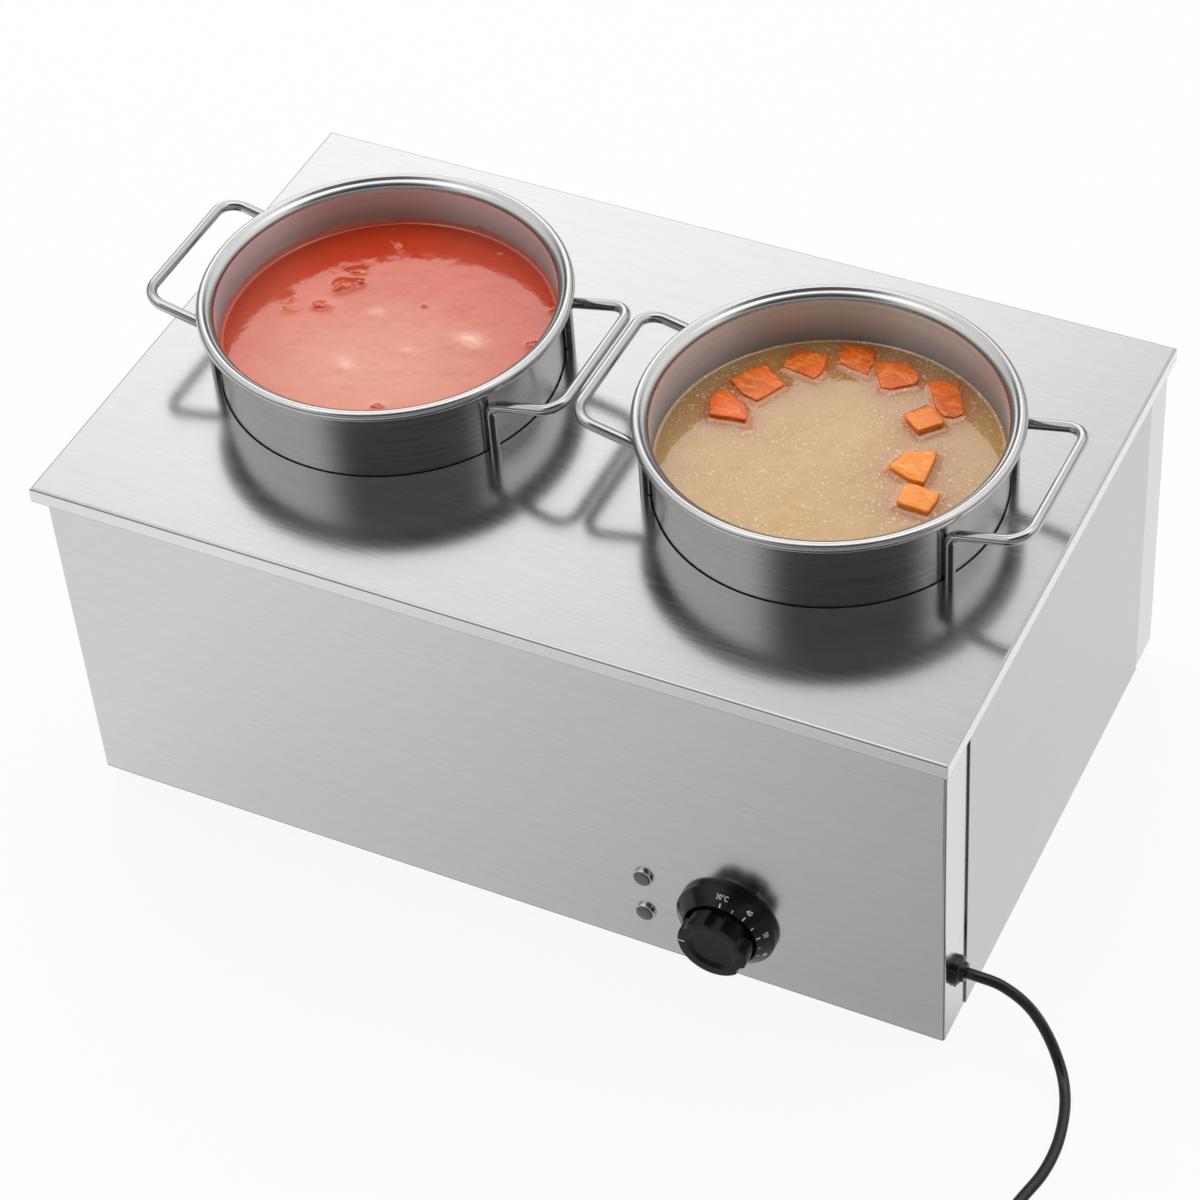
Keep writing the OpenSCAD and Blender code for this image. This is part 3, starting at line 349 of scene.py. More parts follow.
def lamp_glass(name):
    """Smoked lens with a close grid of moulded dimples, whose tops are painted lighter as painted glints."""
    f = Finish(bpy.data.materials.new(name))
    pitch, lean = 0.0015, 0.35
    grid = f.place((FULL_TURN / pitch,) * 3, turn=(0, lean, 0))
    dots = f.along(0, grid).math("SINE") * f.along(2, grid).math("SINE") * 0.9 + 0.4
    # Painted glints: lighter colour on the dimples' tops
    shade = f.blend(dots.clamped(), (0.004, 0.004, 0.004, 1), (0.28, 0.28, 0.27, 1))
    return f.surface(Base_Color=shade, Roughness=dots.clamped() * 0.12 + 0.20, Coat_Weight=0.2, Coat_Roughness=0.08,
                     Normal=f.bump(dots, 0.35, 0.0003))


def tomato_finish(colours, sheen_middle):
    """Smooth tomato soup: a wet, slightly uneven surface with pulp, a pale cloud of painted sheen near the front, and
    painted highlights over the covered lumps.
    """
    f = Finish(bpy.data.materials.new("tomato_soup"))
    sheen_pale, highlight_pink, pulp_red = (0.61, 0.235, 0.15, 1), (0.86, 0.50, 0.40, 1), (0.66, 0.11, 0.036, 1)
    far = f.node("ShaderNodeVectorMath", {"operation": "DISTANCE"}, {0: f.place(), 1: tuple(sheen_middle)}, "Value")
    pale = f.ramp(far, PAINTED_SHEEN_END, PAINTED_SHEEN_FULL, smooth=True)
    cloud = f.grain(26.0, 4.0, 0.55, (0.2, 0.5, 0.0), 0.6)
    pulp = f.grain(240.0, shift=(3.0, 1.0, 0.0))
    shade = f.blend(cloud.clamped(), opaque(colours.tomato, 0.86), opaque(colours.tomato, 1.16))
    # Painted sheen: a pale cloud towards the front of the soup
    shade = f.blend((pale * (cloud * 0.5 + 0.55)).clamped(), shade, sheen_pale)
    # Painted highlight: paler pink over the swells of the covered lumps
    shade = f.blend(f.stored("skin").clamped(), shade, highlight_pink)
    shade = f.blend(((pulp - 0.60) * 5.0).clamped() * 0.45, shade, pulp_red)
    return f.surface(Base_Color=shade, Roughness=(pulp - 0.5) * 0.06 + (cloud - 0.5) * 0.05 + 0.06, IOR=1.8,
                     Specular_Tint=(1.0, 0.96, 0.86, 1), Normal=f.bump(cloud * 0.6 + pulp * 0.4, 0.13, 0.0022))


def broth_finish(colours):
    """Cloudy broth: pale specks of fat and foam, and an orange glow near the carrots."""
    f = Finish(bpy.data.materials.new("broth"))
    stain, halo, fat = (0.31, 0.100, 0.030, 1), (0.58, 0.13, 0.012, 1), (0.86, 0.74, 0.54, 1)
    cloud = f.grain(17.0, 3.0, 0.5, (0.8, 0.1, 0.0), 0.4)
    glow = f.stored("near_carrot")
    drift = f.grain(40.0, 2.0, 0.5, (6.0, 2.0, 0.0))
    flake = f.grain((680.0, 400.0, 480.0), 0.0, 0.4, (2.0, 9.0, 0.0), 0.3)
    crumb = f.grain((460.0, 720.0, 480.0), 0.0, 0.4, (5.0, 3.0, 0.0), 0.3)
    dots = ((flake - 0.690) * 10.0).clamped().math("MAXIMUM", ((crumb - 0.695) * 10.0).clamped())
    dots = dots * ((drift - 0.12) * 2.4).clamped()
    shade = f.blend(cloud.clamped(), opaque(colours.broth, 0.90), opaque(colours.broth, 1.10))
    shade = f.blend((glow * 0.78).clamped(), shade, stain)
    shade = f.blend((glow ** 5.0 * 0.75).clamped(), shade, halo)
    shade = f.blend(dots * 0.48, shade, fat)
    return f.surface(Base_Color=shade, Roughness=(cloud - 0.5) * 0.05 + dots * 0.22 + 0.06, IOR=1.97,
                     Specular_Tint=(1.0, 0.98, 0.91, 1), Normal=f.bump(cloud * 0.45 + dots * 0.55, 0.14, 0.0014))


def carrot_finish(colours):
    """Wet cut carrot: fibres, pale lines round the heart, tiny wet pits, and a painted sheen that makes some pieces
    paler and more yellow.
    """
    f = Finish(bpy.data.materials.new("carrot"))
    sheen_yellow, crack_red, fibre_pale = (0.90, 0.28, 0.010, 1), (0.60, 0.085, 0.004, 1), (1.0, 0.62, 0.12, 1)
    fibre = f.grain((120.0, 560.0, 300.0), 3.0, 0.6, (0.1, 0.4, 0.0), 0.6)
    heart = f.grain((58.0, 74.0, 60.0), 1.0, 0.4, (1.0, 0.3, 2.0), 1.2)
    pits = f.grain(900.0, 2.0, 0.5, (3.0, 6.0, 1.0))
    line = (1 - (heart - 0.50).math("ABSOLUTE") * 38.0).clamped() * 0.7
    streak = ((fibre - 0.53) * 6.0).clamped().math("MAXIMUM", line)
    crack = ((0.44 - fibre) * 9.0).clamped()
    shade = f.blend(((heart - 0.30) * 2.4).clamped(), opaque(colours.carrot, 0.72), opaque(colours.carrot, 1.12))
    # Painted sheen: the stored paleness makes the front carrots paler and more yellow
    shade = f.blend(f.stored("pale"), shade, sheen_yellow)
    shade = f.blend(crack * 0.4, shade, crack_red)
    shade = f.blend(streak * 0.42, shade, fibre_pale)
    return f.surface(Base_Color=shade, Roughness=(fibre - 0.5) * 0.10 + (pits - 0.5) * 0.10 + 0.16, IOR=1.45,
                     Coat_Weight=0.25, Coat_Roughness=0.05,
                     Subsurface_Weight=0.10, Subsurface_Radius=(0.006, 0.002, 0.001), Subsurface_Scale=0.4,
                     Normal=f.bump(fibre * 0.5 + pits * 0.5, 0.55, 0.0010))


def vegetable_finish():
    """Soft pieces of tomato in the soup, from deep red to orange."""
    f = Finish(bpy.data.materials.new("soup_vegetable"))
    tone = f.grain(150.0)
    flesh = f.node("ShaderNodeValToRGB", {"stops": (
        (0.36, (0.56, 0.045, 0.012, 1)), (0.52, (0.66, 0.09, 0.02, 1)), (0.68, (0.78, 0.24, 0.06, 1)))}, {"Fac": tone})
    return f.surface(Base_Color=flesh, Roughness=tone * 0.1 + 0.14, Coat_Weight=0.6, Coat_Roughness=0.08, IOR=1.6,
                     Normal=f.bump(tone, 0.25, 0.001))


def film_finish():
    """Thin film that the soup leaves on the pot's wall."""
    f = Finish(bpy.data.materials.new("soup_film"))
    thin = f.grain((90.0, 90.0, 400.0))
    return f.surface(Base_Color=f.blend(thin, (0.52, 0.16, 0.11, 1), (0.72, 0.40, 0.32, 1)), Metallic=0.35,
                     Roughness=thin * 0.2 + 0.22)


def dress(finish, *nodes):
    """Gives CAD nodes that stay in view a finish."""
    for name in nodes:
        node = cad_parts[name]
        if not node.material_slots:
            node.data.materials.append(finish)
        for slot in node.material_slots:
            slot.material = finish


# Shapes


def outline(corners, steps=5):
    """Outline through (x, y, radius) corners, each rounded by its radius."""
    flat = [Vector(c[:2]) for c in corners]
    path = []
    for i, corner in enumerate(corners):
        here, radius = flat[i], corner[2] if len(corner) > 2 else 0
        if not radius or i in (0, len(corners) - 1):
            path.append(here)
            continue
        back, ahead = (flat[i - 1] - here).normalized(), (flat[i + 1] - here).normalized()
        half = back.angle(ahead) / 2
        reach = radius / math.tan(half)
        centre = here + (back + ahead).normalized() * (radius / math.sin(half))
        first, last = here + back * reach - centre, here + ahead * reach - centre
        sweep_angle = math.atan2(first.x * last.y - first.y * last.x, first.dot(last))
        for k in range(steps + 1):
            path.append(centre + Matrix.Rotation(sweep_angle * k / steps, 2) @ first)
    return path


def arc(centre, radius, degrees):
    """Points on a circle; a negative radius takes them on its far side."""
    return [Vector((centre[0] + radius * math.cos(math.radians(d)), centre[1] + radius * math.sin(math.radians(d))))
            for d in degrees]


def lathe(path, origin, axis, radial, steps):
    """Turns an outline of (radius, height) points about an axis into a closed skin."""
    bm = bmesh.new()
    verts = [bm.verts.new(origin + radial * p[0] + axis * p[1]) for p in path]
    edges = [bm.edges.new(pair) for pair in zip(verts, verts[1:])]
    bmesh.ops.spin(bm, geom=verts + edges, cent=origin, axis=axis, angle=FULL_TURN, steps=steps, use_merge=True)
    bmesh.ops.remove_doubles(bm, verts=bm.verts, dist=2e-6)
    bmesh.ops.recalc_face_normals(bm, faces=bm.faces)
    return bm


def piece(name, bm, body, slot, *finishes, instead_of=(), sharp=38):
    """Makes a finished object from a bmesh, riding on a body."""
    mesh = bpy.data.meshes.new(name)
    bm.to_mesh(mesh)
    bm.free()
    mesh.shade_smooth()
    mesh.set_sharp_from_angle(angle=math.radians(sharp))
    for finish in finishes:
        mesh.materials.append(finish)
    made = bpy.data.objects.new(name, mesh)
    bpy.context.scene.collection.objects.link(made)
    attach(made, body)
    if instead_of:
        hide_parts(*instead_of)
    return made


def join(target, source, matrix=None):
    """Moves one bmesh into another."""
    if matrix is not None:
        bmesh.ops.transform(source, matrix=matrix, verts=source.verts)
    spare = bpy.data.meshes.new("spare")
    source.to_mesh(spare)
    source.free()
    target.from_mesh(spare)
    bpy.data.meshes.remove(spare)


class Rod:
    """A round rod that is pushed out and bent, ring by ring."""

    def __init__(self, start, heading, radius, sides=20):
        self.bm = bmesh.new()
        self.at, self.heading = Vector(start), Vector(heading).normalized()
        turn = Z.rotation_difference(self.heading).to_matrix().to_4x4()
        bmesh.ops.create_circle(self.bm, segments=sides, radius=radius, matrix=Matrix.Translation(self.at) @ turn)
        self.ring = list(self.bm.edges)
        self.close()

    def close(self):
        bmesh.ops.edgeloop_fill(self.bm, edges=self.ring)

    def run(self, length):
        made = bmesh.ops.extrude_edge_only(self.bm, edges=self.ring)["geom"]
        move = self.heading * length
        bmesh.ops.translate(self.bm, vec=move, verts=[g for g in made if isinstance(g, bmesh.types.BMVert)])
        self.ring = [g for g in made if isinstance(g, bmesh.types.BMEdge)
                     and all((v.co - self.at - move).dot(self.heading) > -1e-6 for v in g.verts)]
        self.at = self.at + move
        return self

    def bend(self, towards, radius, steps=10):
        towards = Vector(towards).normalized()
        inward = (towards - self.heading * towards.dot(self.heading)).normalized()
        centre, axis = self.at + inward * radius, self.heading.cross(towards).normalized()
        angle = self.heading.angle(towards)
        made = bmesh.ops.spin(self.bm, geom=self.ring, cent=centre, axis=axis, angle=angle, steps=steps)["geom_last"]
        self.ring = [g for g in made if isinstance(g, bmesh.types.BMEdge)]
        self.at = centre + Matrix.Rotation(angle, 3, axis) @ (self.at - centre)
        self.heading = towards
        return self


def on_dial(angle, radius, out):
    """Point of the dial, seen from the front: angle from the right, distance from the axis and out of the panel."""
    return Vector((DIAL.x + radius * math.cos(angle), FRONT_FACE - out, DIAL.z + radius * math.sin(angle)))


def cone_out(radius):
    """How far the dial's slope stands out of the panel."""
    fall = (DIAL_TOP[1] - DIAL_FOOT[1]) / (DIAL_FOOT[0] - DIAL_TOP[0])
    return DIAL_TOP[1] - (radius - DIAL_TOP[0]) * fall


def sweep(points, steps):
    """Smooth path through the points."""
    ends = [points[0]] + list(points) + [points[-1]]
    path = []
    for a, b, c, d in zip(ends, ends[1:], ends[2:], ends[3:]):
        for k in range(steps):
            t = k / steps
            path.append(0.5 * (2 * b + (c - a) * t + (2 * a - 5 * b + 4 * c - d) * t ** 2
                               + (3 * b - a - 3 * c + d) * t ** 3))
    return path + [points[-1]]


# Operators


class STATION_OT_camera(bpy.types.Operator):
    """Set up the camera"""

    bl_idname = "station.camera"
    bl_label = "Camera"

    def execute(self, context):
        sizes = context.scene.station_sizes
        data = bpy.data.cameras.new("station_camera")
        data.sensor_width, data.lens = SENSOR_WIDTH, sizes.camera_lens
        data.shift_x, data.shift_y = FRAME_SHIFT
        data.clip_end = 60
        az, el, roll = sizes.camera_azimuth, sizes.camera_elevation, sizes.camera_roll
        back = Vector((math.sin(az) * math.cos(el), -math.cos(az) * math.cos(el), math.sin(el)))
        level = Vector((math.cos(az), math.sin(az), 0))
        upward = back.cross(level)
        right = level * math.cos(roll) + upward * math.sin(roll)
        up = upward * math.cos(roll) - level * math.sin(roll)
        camera = bpy.data.objects.new("station_camera", data)
        camera.matrix_world = Matrix.Translation(sizes.camera_place) @ Matrix((right, up, back)).transposed().to_4x4()
        context.scene.collection.objects.link(camera)
        context.scene.camera = camera
        return {"FINISHED"}


class STATION_OT_mains_cord(bpy.types.Operator):
    """Lay the mains cord with its gland, tie and plug"""

    bl_idname = "station.mains_cord"
    bl_label = "Mains cord"

    def execute(self, context):
        colours = context.scene.station_colours
        rubber = moulded("cord_rubber", colours.plastic, 0.28, 0.06, 0.0, 1.5)
        plastic = moulded("gland_plastic", colours.plastic, 0.24, 0.05, 0.0, 1.45)
        path = [Vector((p.x, p.y, max(p.z, CORD_RADIUS))) for p in sweep([Vector(p) * MM for p in CORD_ROUTE], 6)]
        for k in range(COIL_TURNS * COIL_STEPS + 1):
            u = k / COIL_STEPS
            radius = COIL_RADIUS - COIL_PITCH * min(u, COIL_TURNS - u)
            lift = min(max((u - COIL_TURNS / 2) * 2 + 0.5, 0), 1)
            path.append(Vector((COIL_CENTRE[0] + radius * math.cos(FULL_TURN * u),
                                COIL_CENTRE[1] - radius * math.sin(FULL_TURN * u), COIL_LOW + COIL_LAYER * lift)) * MM)
        path += [Vector(p) * MM for p in PLUG_LEAD]
        curve = bpy.data.curves.new("mains_cord", "CURVE")
        curve.dimensions, curve.bevel_depth, curve.bevel_resolution = "3D", CORD_RADIUS, 4
        curve.use_fill_caps = True
        spline = curve.splines.new("POLY")
        spline.points.add(len(path) - 1)
        for point, here in zip(spline.points, path):
            point.co = (*here, 1)
        spline.use_smooth = True
        curve.materials.append(rubber)
        cord = bpy.data.objects.new("mains_cord", curve)
        context.scene.collection.objects.link(cord)
        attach(cord, "cabinet")
        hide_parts("power_cord", "cord_coil", "plug_lead")

        shape = outline(((0.0037, 0.0075), (0.0058, 0.0075, 0.0009), (0.0068, 0.0050, 0.0008), (0.0088, 0.0042, 0.0016),
                         (0.0095, 0.0020, 0.0008), (0.0095, 0), (0.0070, 0), (0.0070, -0.014), (0.0037, -0.014),
                         (0.0037, 0.0075)))
        gland = lathe(shape, GLAND_FACE, X, Y, 56)
        for aside in (-0.0022, 0.0022):
            tab = bmesh.new()
            bmesh.ops.create_cube(tab, size=1, matrix=Matrix.Diagonal((0.0020, 0.0028, 0.0036, 1)))
            bmesh.ops.bevel(tab, geom=tab.edges[:], offset=0.0006, offset_type="OFFSET", affect="EDGES", segments=2,
                            profile=0.5, material=-1)
            join(gland, tab, Matrix.Translation(GLAND_FACE + Vector((0.0011, aside, -0.0106))))
        gland = piece("gland_cap", gland, "cabinet", "black_plastic", plastic, instead_of=("cord_gland",))
        dress(rubber, "cord_tail")
        dress(plastic, "gland_nut", "plug_body", "cord_tie")
        dress(polished_steel("plug_pin_brass", (0.72, 0.60, 0.36), 0.18), "plug_pins")
        return {"FINISHED"}


class STATION_OT_stage(bpy.types.Operator):
    """Set up floor, soft light and background"""

    bl_idname = "station.stage"
    bl_label = "Studio stage"

    def execute(self, context):
        scene = context.scene
        colours = scene.station_colours
        scene.view_settings.view_transform = "Standard"

        bm = bmesh.new()
        bmesh.ops.create_grid(bm, x_segments=1, y_segments=1, size=14)
        mesh = bpy.data.meshes.new("studio_floor")
        bm.to_mesh(mesh)
        bm.free()
        f = Finish(bpy.data.materials.new("studio_floor"))
        matt = f.node("ShaderNodeBsdfDiffuse", None, {"Color": opaque(colours.floor)})
        white = f.node("ShaderNodeEmission", None, {"Color": (1, 1, 1, 1), "Strength": 1.0})
        # The steel mirrors a floor that is white beside the cabinet and gets darker to the right in front of it
        beside = f.ramp(f.along(1), -0.20, -0.10, smooth=True)
        front = (0.70 - f.along(0) * 0.75).math("MINIMUM", 0.95).math("MAXIMUM", 0.42)
        pale = f.node("ShaderNodeEmission", None, {"Color": (1, 1, 1, 1), "Strength": front * (1 - beside) + beside})
        seen = f.node("ShaderNodeLightPath", output="Is Camera Ray")
        through = f.node("ShaderNodeLightPath", output="Is Transmission Ray")
        mirrored = f.node("ShaderNodeLightPath", output="Is Glossy Ray")
        lit = f.node("ShaderNodeMixShader", None, {0: mirrored * 0.88, 1: matt, 2: pale})
        f.node("ShaderNodeOutputMaterial", None, {"Surface": f.node("ShaderNodeMixShader", None, {
            0: (seen + through).clamped() * 0.91, 1: lit, 2: white})})
        mesh.materials.append(f.owner)
        floor = bpy.data.objects.new("studio_floor", mesh)
        scene.collection.objects.link(floor)

        world = bpy.data.worlds.new("studio")
        scene.world = world
        w = Finish(world)
        way = w.node("ShaderNodeTexCoord", output="Generated")
        # A dark flag above the camera, bright patches behind and at both sides, and bands that begin and are full at
        # an elevation
        facing = scene.station_sizes.camera_azimuth
        flag = self.patch(w, way, facing + math.radians(8), math.radians(44), 47, 27)
        back = self.patch(w, way, math.radians(180 + 32), math.radians(26), 27, 8)
        right = self.patch(w, way, facing + math.radians(104), math.radians(40), 52, 20)
        left = self.patch(w, way, facing - math.radians(96), math.radians(42), 42, 18)
        lifted, wall, top = (
            w.ramp(w.along(2, way), math.sin(math.radians(start)), math.sin(math.radians(full)), smooth=True)
            for start, full in ((25, 37), (8, 36), (54, 70)))
        glow = wall * 0.62 + top + back * 1.30 + right * 0.45 + left * 0.30 + 0.16
        room = w.node("ShaderNodeBackground", None, {
            "Color": (1, 1, 1, 1), "Strength": glow * (1 - flag * lifted * 0.91)})
        plain = w.node("ShaderNodeBackground", None, {"Color": (1, 1, 1, 1), "Strength": 1.0})
        w.node("ShaderNodeOutputWorld", None, {"Surface": w.node("ShaderNodeMixShader", None, {
            0: w.node("ShaderNodeLightPath", output="Is Camera Ray"), 1: room, 2: plain})})

        aim = Vector((0, 0, 0.2))
        for name, place, size, power in (
                ("key_softbox", (-1.3, 1.1, 2.3), 1.5, 16), ("side_softbox", (2.2, 0.9, 1.5), 1.1, 8)):
            lamp = bpy.data.lights.new(name, "AREA")
            lamp.shape, lamp.size, lamp.energy = "SQUARE", size, power
            box = bpy.data.objects.new(name, lamp)
            box.visible_glossy = False
            box.location = place
            box.rotation_euler = (aim - Vector(place)).to_track_quat("-Z", "Y").to_euler()
            scene.collection.objects.link(box)
        return {"FINISHED"}

    def patch(self, w, way, azimuth, elevation, outer, inner):
        """Share of a round patch of the studio's walls: none outside the outer angle, full inside the inner one."""
        toward = (math.sin(azimuth) * math.cos(elevation), -math.cos(azimuth) * math.cos(elevation),
                  math.sin(elevation))
        near = w.node("ShaderNodeVectorMath", {"operation": "DOT_PRODUCT"}, {0: way, 1: toward}, output="Value")
        return w.ramp(near, math.cos(math.radians(outer)), math.cos(math.radians(inner)), smooth=True)


class STATION_OT_cabinet(bpy.types.Operator):
    """Give the sheet pieces, feet and screws their finishes"""

    bl_idname = "station.cabinet"
    bl_label = "Cabinet"

    def execute(self, context):
        colours = context.scene.station_colours
        sheet = tuple(colours.sheet)
        low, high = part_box("top_plate")
        # Top plate: the skirt is painted lighter, with a painted shade line along the top's front edge and painted
        # shade along the skirt's lower edge
        dress(brushed_steel("plate_steel", tuple(colours.plate), (5.0, 900.0, 900.0), 0.165, (
            (2, high.z - 0.0003, high.z - 0.0009, 1.66), (1, low.y + 0.0009, low.y + 0.0005, 0.5),
            (1, low.y + 0.0004, low.y + 0.0001, 2.0), (2, low.z + 0.0006, low.z + 0.0003, 0.6))), "top_plate")
        low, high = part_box("front_panel")
        # Front panel: a painted shade line along the right fold and painted shade along the bottom edge
        dress(brushed_steel("panel_steel", sheet, (5.0, 800.0, 800.0), 0.19, (
            (0, high.x - 0.0010, high.x - 0.0007, 0.35), (0, high.x - 0.0003, high.x - 0.0001, 2.9),
            (2, low.z + 0.0010, low.z + 0.0006, 0.6))), "front_panel")
        dress(brushed_steel("back_steel", sheet, (5.0, 800.0, 800.0), 0.24), "back_panel", "base_plate")
        # The side panels are the same sheet painted darker, as painted shade, with a painted shadow line along their
        # front edge at the seam
        sides = tuple(c * 0.79 for c in sheet)
        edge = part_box("right_panel")[0].y
        dress(brushed_steel("side_steel", sides, (800.0, 5.0, 800.0), 0.26, ((1, edge + 0.0012, edge + 0.0008, 0.3),)),
              "left_panel", "right_panel")
        dress(moulded("foot_rubber", (0.02, 0.02, 0.02), 0.6, 0.12), "feet")
        dress(polished_steel("fastener_steel", (0.55, 0.55, 0.56), 0.25), "base_screws", "foot_screws", "foot_nuts")
        return {"FINISHED"}


class STATION_OT_inner_parts(bpy.types.Operator):
    """Give the pieces inside the cabinet their finishes"""

    bl_idname = "station.inner_parts"
    bl_label = "Inner parts"

    def execute(self, context):
        dress(brushed_steel("tank_steel", (0.5, 0.5, 0.5), (400.0, 5.0, 400.0), 0.30), "water_tank")
        dress(polished_steel("element_steel", (0.28, 0.27, 0.26), 0.32), "heating_element", "element_saddles")
        dress(moulded("seal_rubber", (0.10, 0.03, 0.02), 0.55, 0.10), "element_gaskets")
        dress(polished_steel("brass", (0.62, 0.44, 0.16), 0.22), "element_nuts", "capillary", "sensor_bulb")
        dress(polished_steel("clip_steel", (0.5, 0.5, 0.5), 0.28), "bulb_clips", "cutout_strap", "thermostat_screws",
              "knob_spindle")
        dress(moulded("cream_plastic", (0.62, 0.56, 0.42), 0.45), "thermostat_body", "limit_cutout", "terminal_block",
              "upper_lamp_body", "lower_lamp_body")
        dress(moulded("nut_plastic", (0.03, 0.03, 0.03), 0.4), "upper_lamp_nut", "lower_lamp_nut")
        return {"FINISHED"}


class STATION_OT_pots(bpy.types.Operator):
    """Spin the two pots with their flared, rolled rims"""

    bl_idname = "station.pots"
    bl_label = "Pots"

    def execute(self, context):
        colour = tuple(context.scene.station_colours.pot)
        wall = turned_steel("pot_wall_steel", colour, 0.21, 0.7)
        rim = polished_steel("rim_steel", tuple(c * 0.86 for c in colour), 0.20)
        sizes = context.scene.station_sizes
        # Each pot's inner wall gets painted shade from its soup's level up to the lip
        painted_shade_heights = {"left": sizes.tomato_level, "right": sizes.broth_level}
        bead, bead_radius, flare = (0.1137, PLATE_TOP + 0.0545), 0.0035, 0.005
        floor, flare_middle = POT_BOTTOM + POT_SHEET, (POT_OUTSIDE + flare, POT_LIP)
        path = outline(((0, floor), (POT_INSIDE, floor, POT_CORNER), (POT_INSIDE, POT_LIP)), 8)
        path += arc(flare_middle, -(flare + POT_SHEET), range(-10, -81, -10))
        path += arc(bead, bead_radius, range(118, -176, -14))
        path += arc(flare_middle, -flare, range(-58, -9, 12))
        path += outline(((POT_OUTSIDE, POT_LIP), (POT_OUTSIDE, POT_BOTTOM, POT_CORNER + POT_SHEET), (0, POT_BOTTOM)), 8)
        for side in SIDES:
            shell = f"{side}_pot_shell"
            centre = middle(shell)
            inside = turned_steel(f"{side}_inside_steel", colour, 0.50, 0.88, (painted_shade_heights[side], POT_LIP))
            bm = lathe(path, Vector((centre.x, centre.y, 0)), Z, X, sizes.pot_facets)
            for face in bm.faces:
                heart = face.calc_center_median()
                within = (heart.xy - centre.xy).length < POT_OUTSIDE - 0.0003 and heart.z > POT_BOTTOM + POT_SHEET / 2
                face.material_index = 1 if heart.z > POT_LIP + 0.0012 else 2 if within else 0
            piece(f"{side}_pot", bm, f"{side}_pot", "pot_steel", wall, rim, inside, instead_of=(shell,), sharp=50)
        return {"FINISHED"}


class STATION_OT_handles(bpy.types.Operator):
    """Bend the four handle rods"""

    bl_idname = "station.handles"
    bl_label = "Handles"

    def execute(self, context):
        steel = polished_steel("rod_steel", tuple(c * 0.74 for c in context.scene.station_colours.pot), 0.05)
        slope = math.radians(12.65)
        leg, reach, rise, half = 0.09767, 0.144, 0.0373, 0.052
        leg_bend, bar_bend = 0.009, 0.014
        tangent = leg_bend * math.tan((math.pi / 2 - slope) / 2)
        arm = (reach - leg) / math.cos(slope)
        for side in SIDES:
            centre = middle(f"{side}_pot_shell")
            for place in ("outer", "inner"):
                name = f"{side}_pot_{place}_handle"
                way = 1 if middle(name).x > centre.x else -1
                out = Vector((way * math.cos(slope), 0, math.sin(slope)))
                rod = Rod((centre.x + way * leg, centre.y - half, PLATE_TOP), Z, ROD_RADIUS)
                rod.run(rise - tangent).bend(out, leg_bend).run(arm - bar_bend - tangent).bend(Y, bar_bend)
                rod.run(2 * (half - bar_bend)).bend(-out, bar_bend).run(arm - bar_bend - tangent)
                rod.bend(-Z, leg_bend).run(rise - tangent).close()
                bmesh.ops.recalc_face_normals(rod.bm, faces=rod.bm.faces)
                piece(f"{side}_{place}_rod", rod.bm, f"{side}_pot", "rod_steel", steel, instead_of=(name,))
        return {"FINISHED"}


def fill_pot(side, level, ripple):
    """Contents of a pot up to a level: a closed body whose top has a raised edge and slight waves."""
    centre = middle(f"{side}_pot_shell")
    radius, floor = POT_INSIDE - 0.0002, POT_BOTTOM + POT_SHEET + 0.0002
    top = [(radius * k / 100, level) for k in range(98)]
    top += [(radius * k / 500, level + 0.0010 * ((k - 490) / 10) ** 2) for k in (490, 494, 497, 500)]
    path = [Vector(p) for p in top] + outline(((radius, level - 0.004), (radius, floor, POT_CORNER), (0, floor)), 6)
    bm = lathe(path, Vector((centre.x, centre.y, 0)), Z, X, 300)
    for v in bm.verts:
        if v.co.z > level - SOUP_SKIN:
            flat = Vector((v.co.x - centre.x, v.co.y - centre.y, 0))
            calm = 1 - min(1, flat.length / radius) ** 6
            v.co.z += ripple * calm * (noise.noise(flat * 26) + 0.5 * noise.noise(flat * 64 + X * 3)
                                       + 0.25 * noise.noise(flat * 170 + Y * 5))
    return bm, centre


def soup_swell(at, lumps):
    """Height (mm) by which the tomato soup stands over pieces of vegetable."""
    rise = 0
    for x, y, length, width, height, turn in lumps:
        off = at - Vector((x, y))
        if off.length < 2 * length:
            off = Matrix.Rotation(-math.radians(turn), 2) @ off
            rise += 0.5 * height * math.exp(-((off.x / (0.55 * length)) ** 2 + (off.y / (0.75 * width)) ** 2) * 1.6)
    return rise


def carrot_distance(at):
    """Distance (mm) from the nearest carrot's edge, nothing inside one."""
    least = GLOW_END
    for *_, corners in CARROTS:
        if (at - Vector(corners[0])).length > GLOW_END + CARROT_LENGTH:
            continue
        inside = False
        for (ax, ay), (bx, by) in zip(corners, corners[1:] + corners[:1]):
            if (ay > at.y) != (by > at.y) and at.x < ax + (at.y - ay) / (by - ay) * (bx - ax):
                inside = not inside
            along = max(0, min(1, ((at.x - ax) * (bx - ax) + (at.y - ay) * (by - ay))
                               / ((bx - ax) ** 2 + (by - ay) ** 2)))
            least = min(least, math.hypot(at.x - ax - along * (bx - ax), at.y - ay - along * (by - ay)))
        if inside:
            return 0
    return least


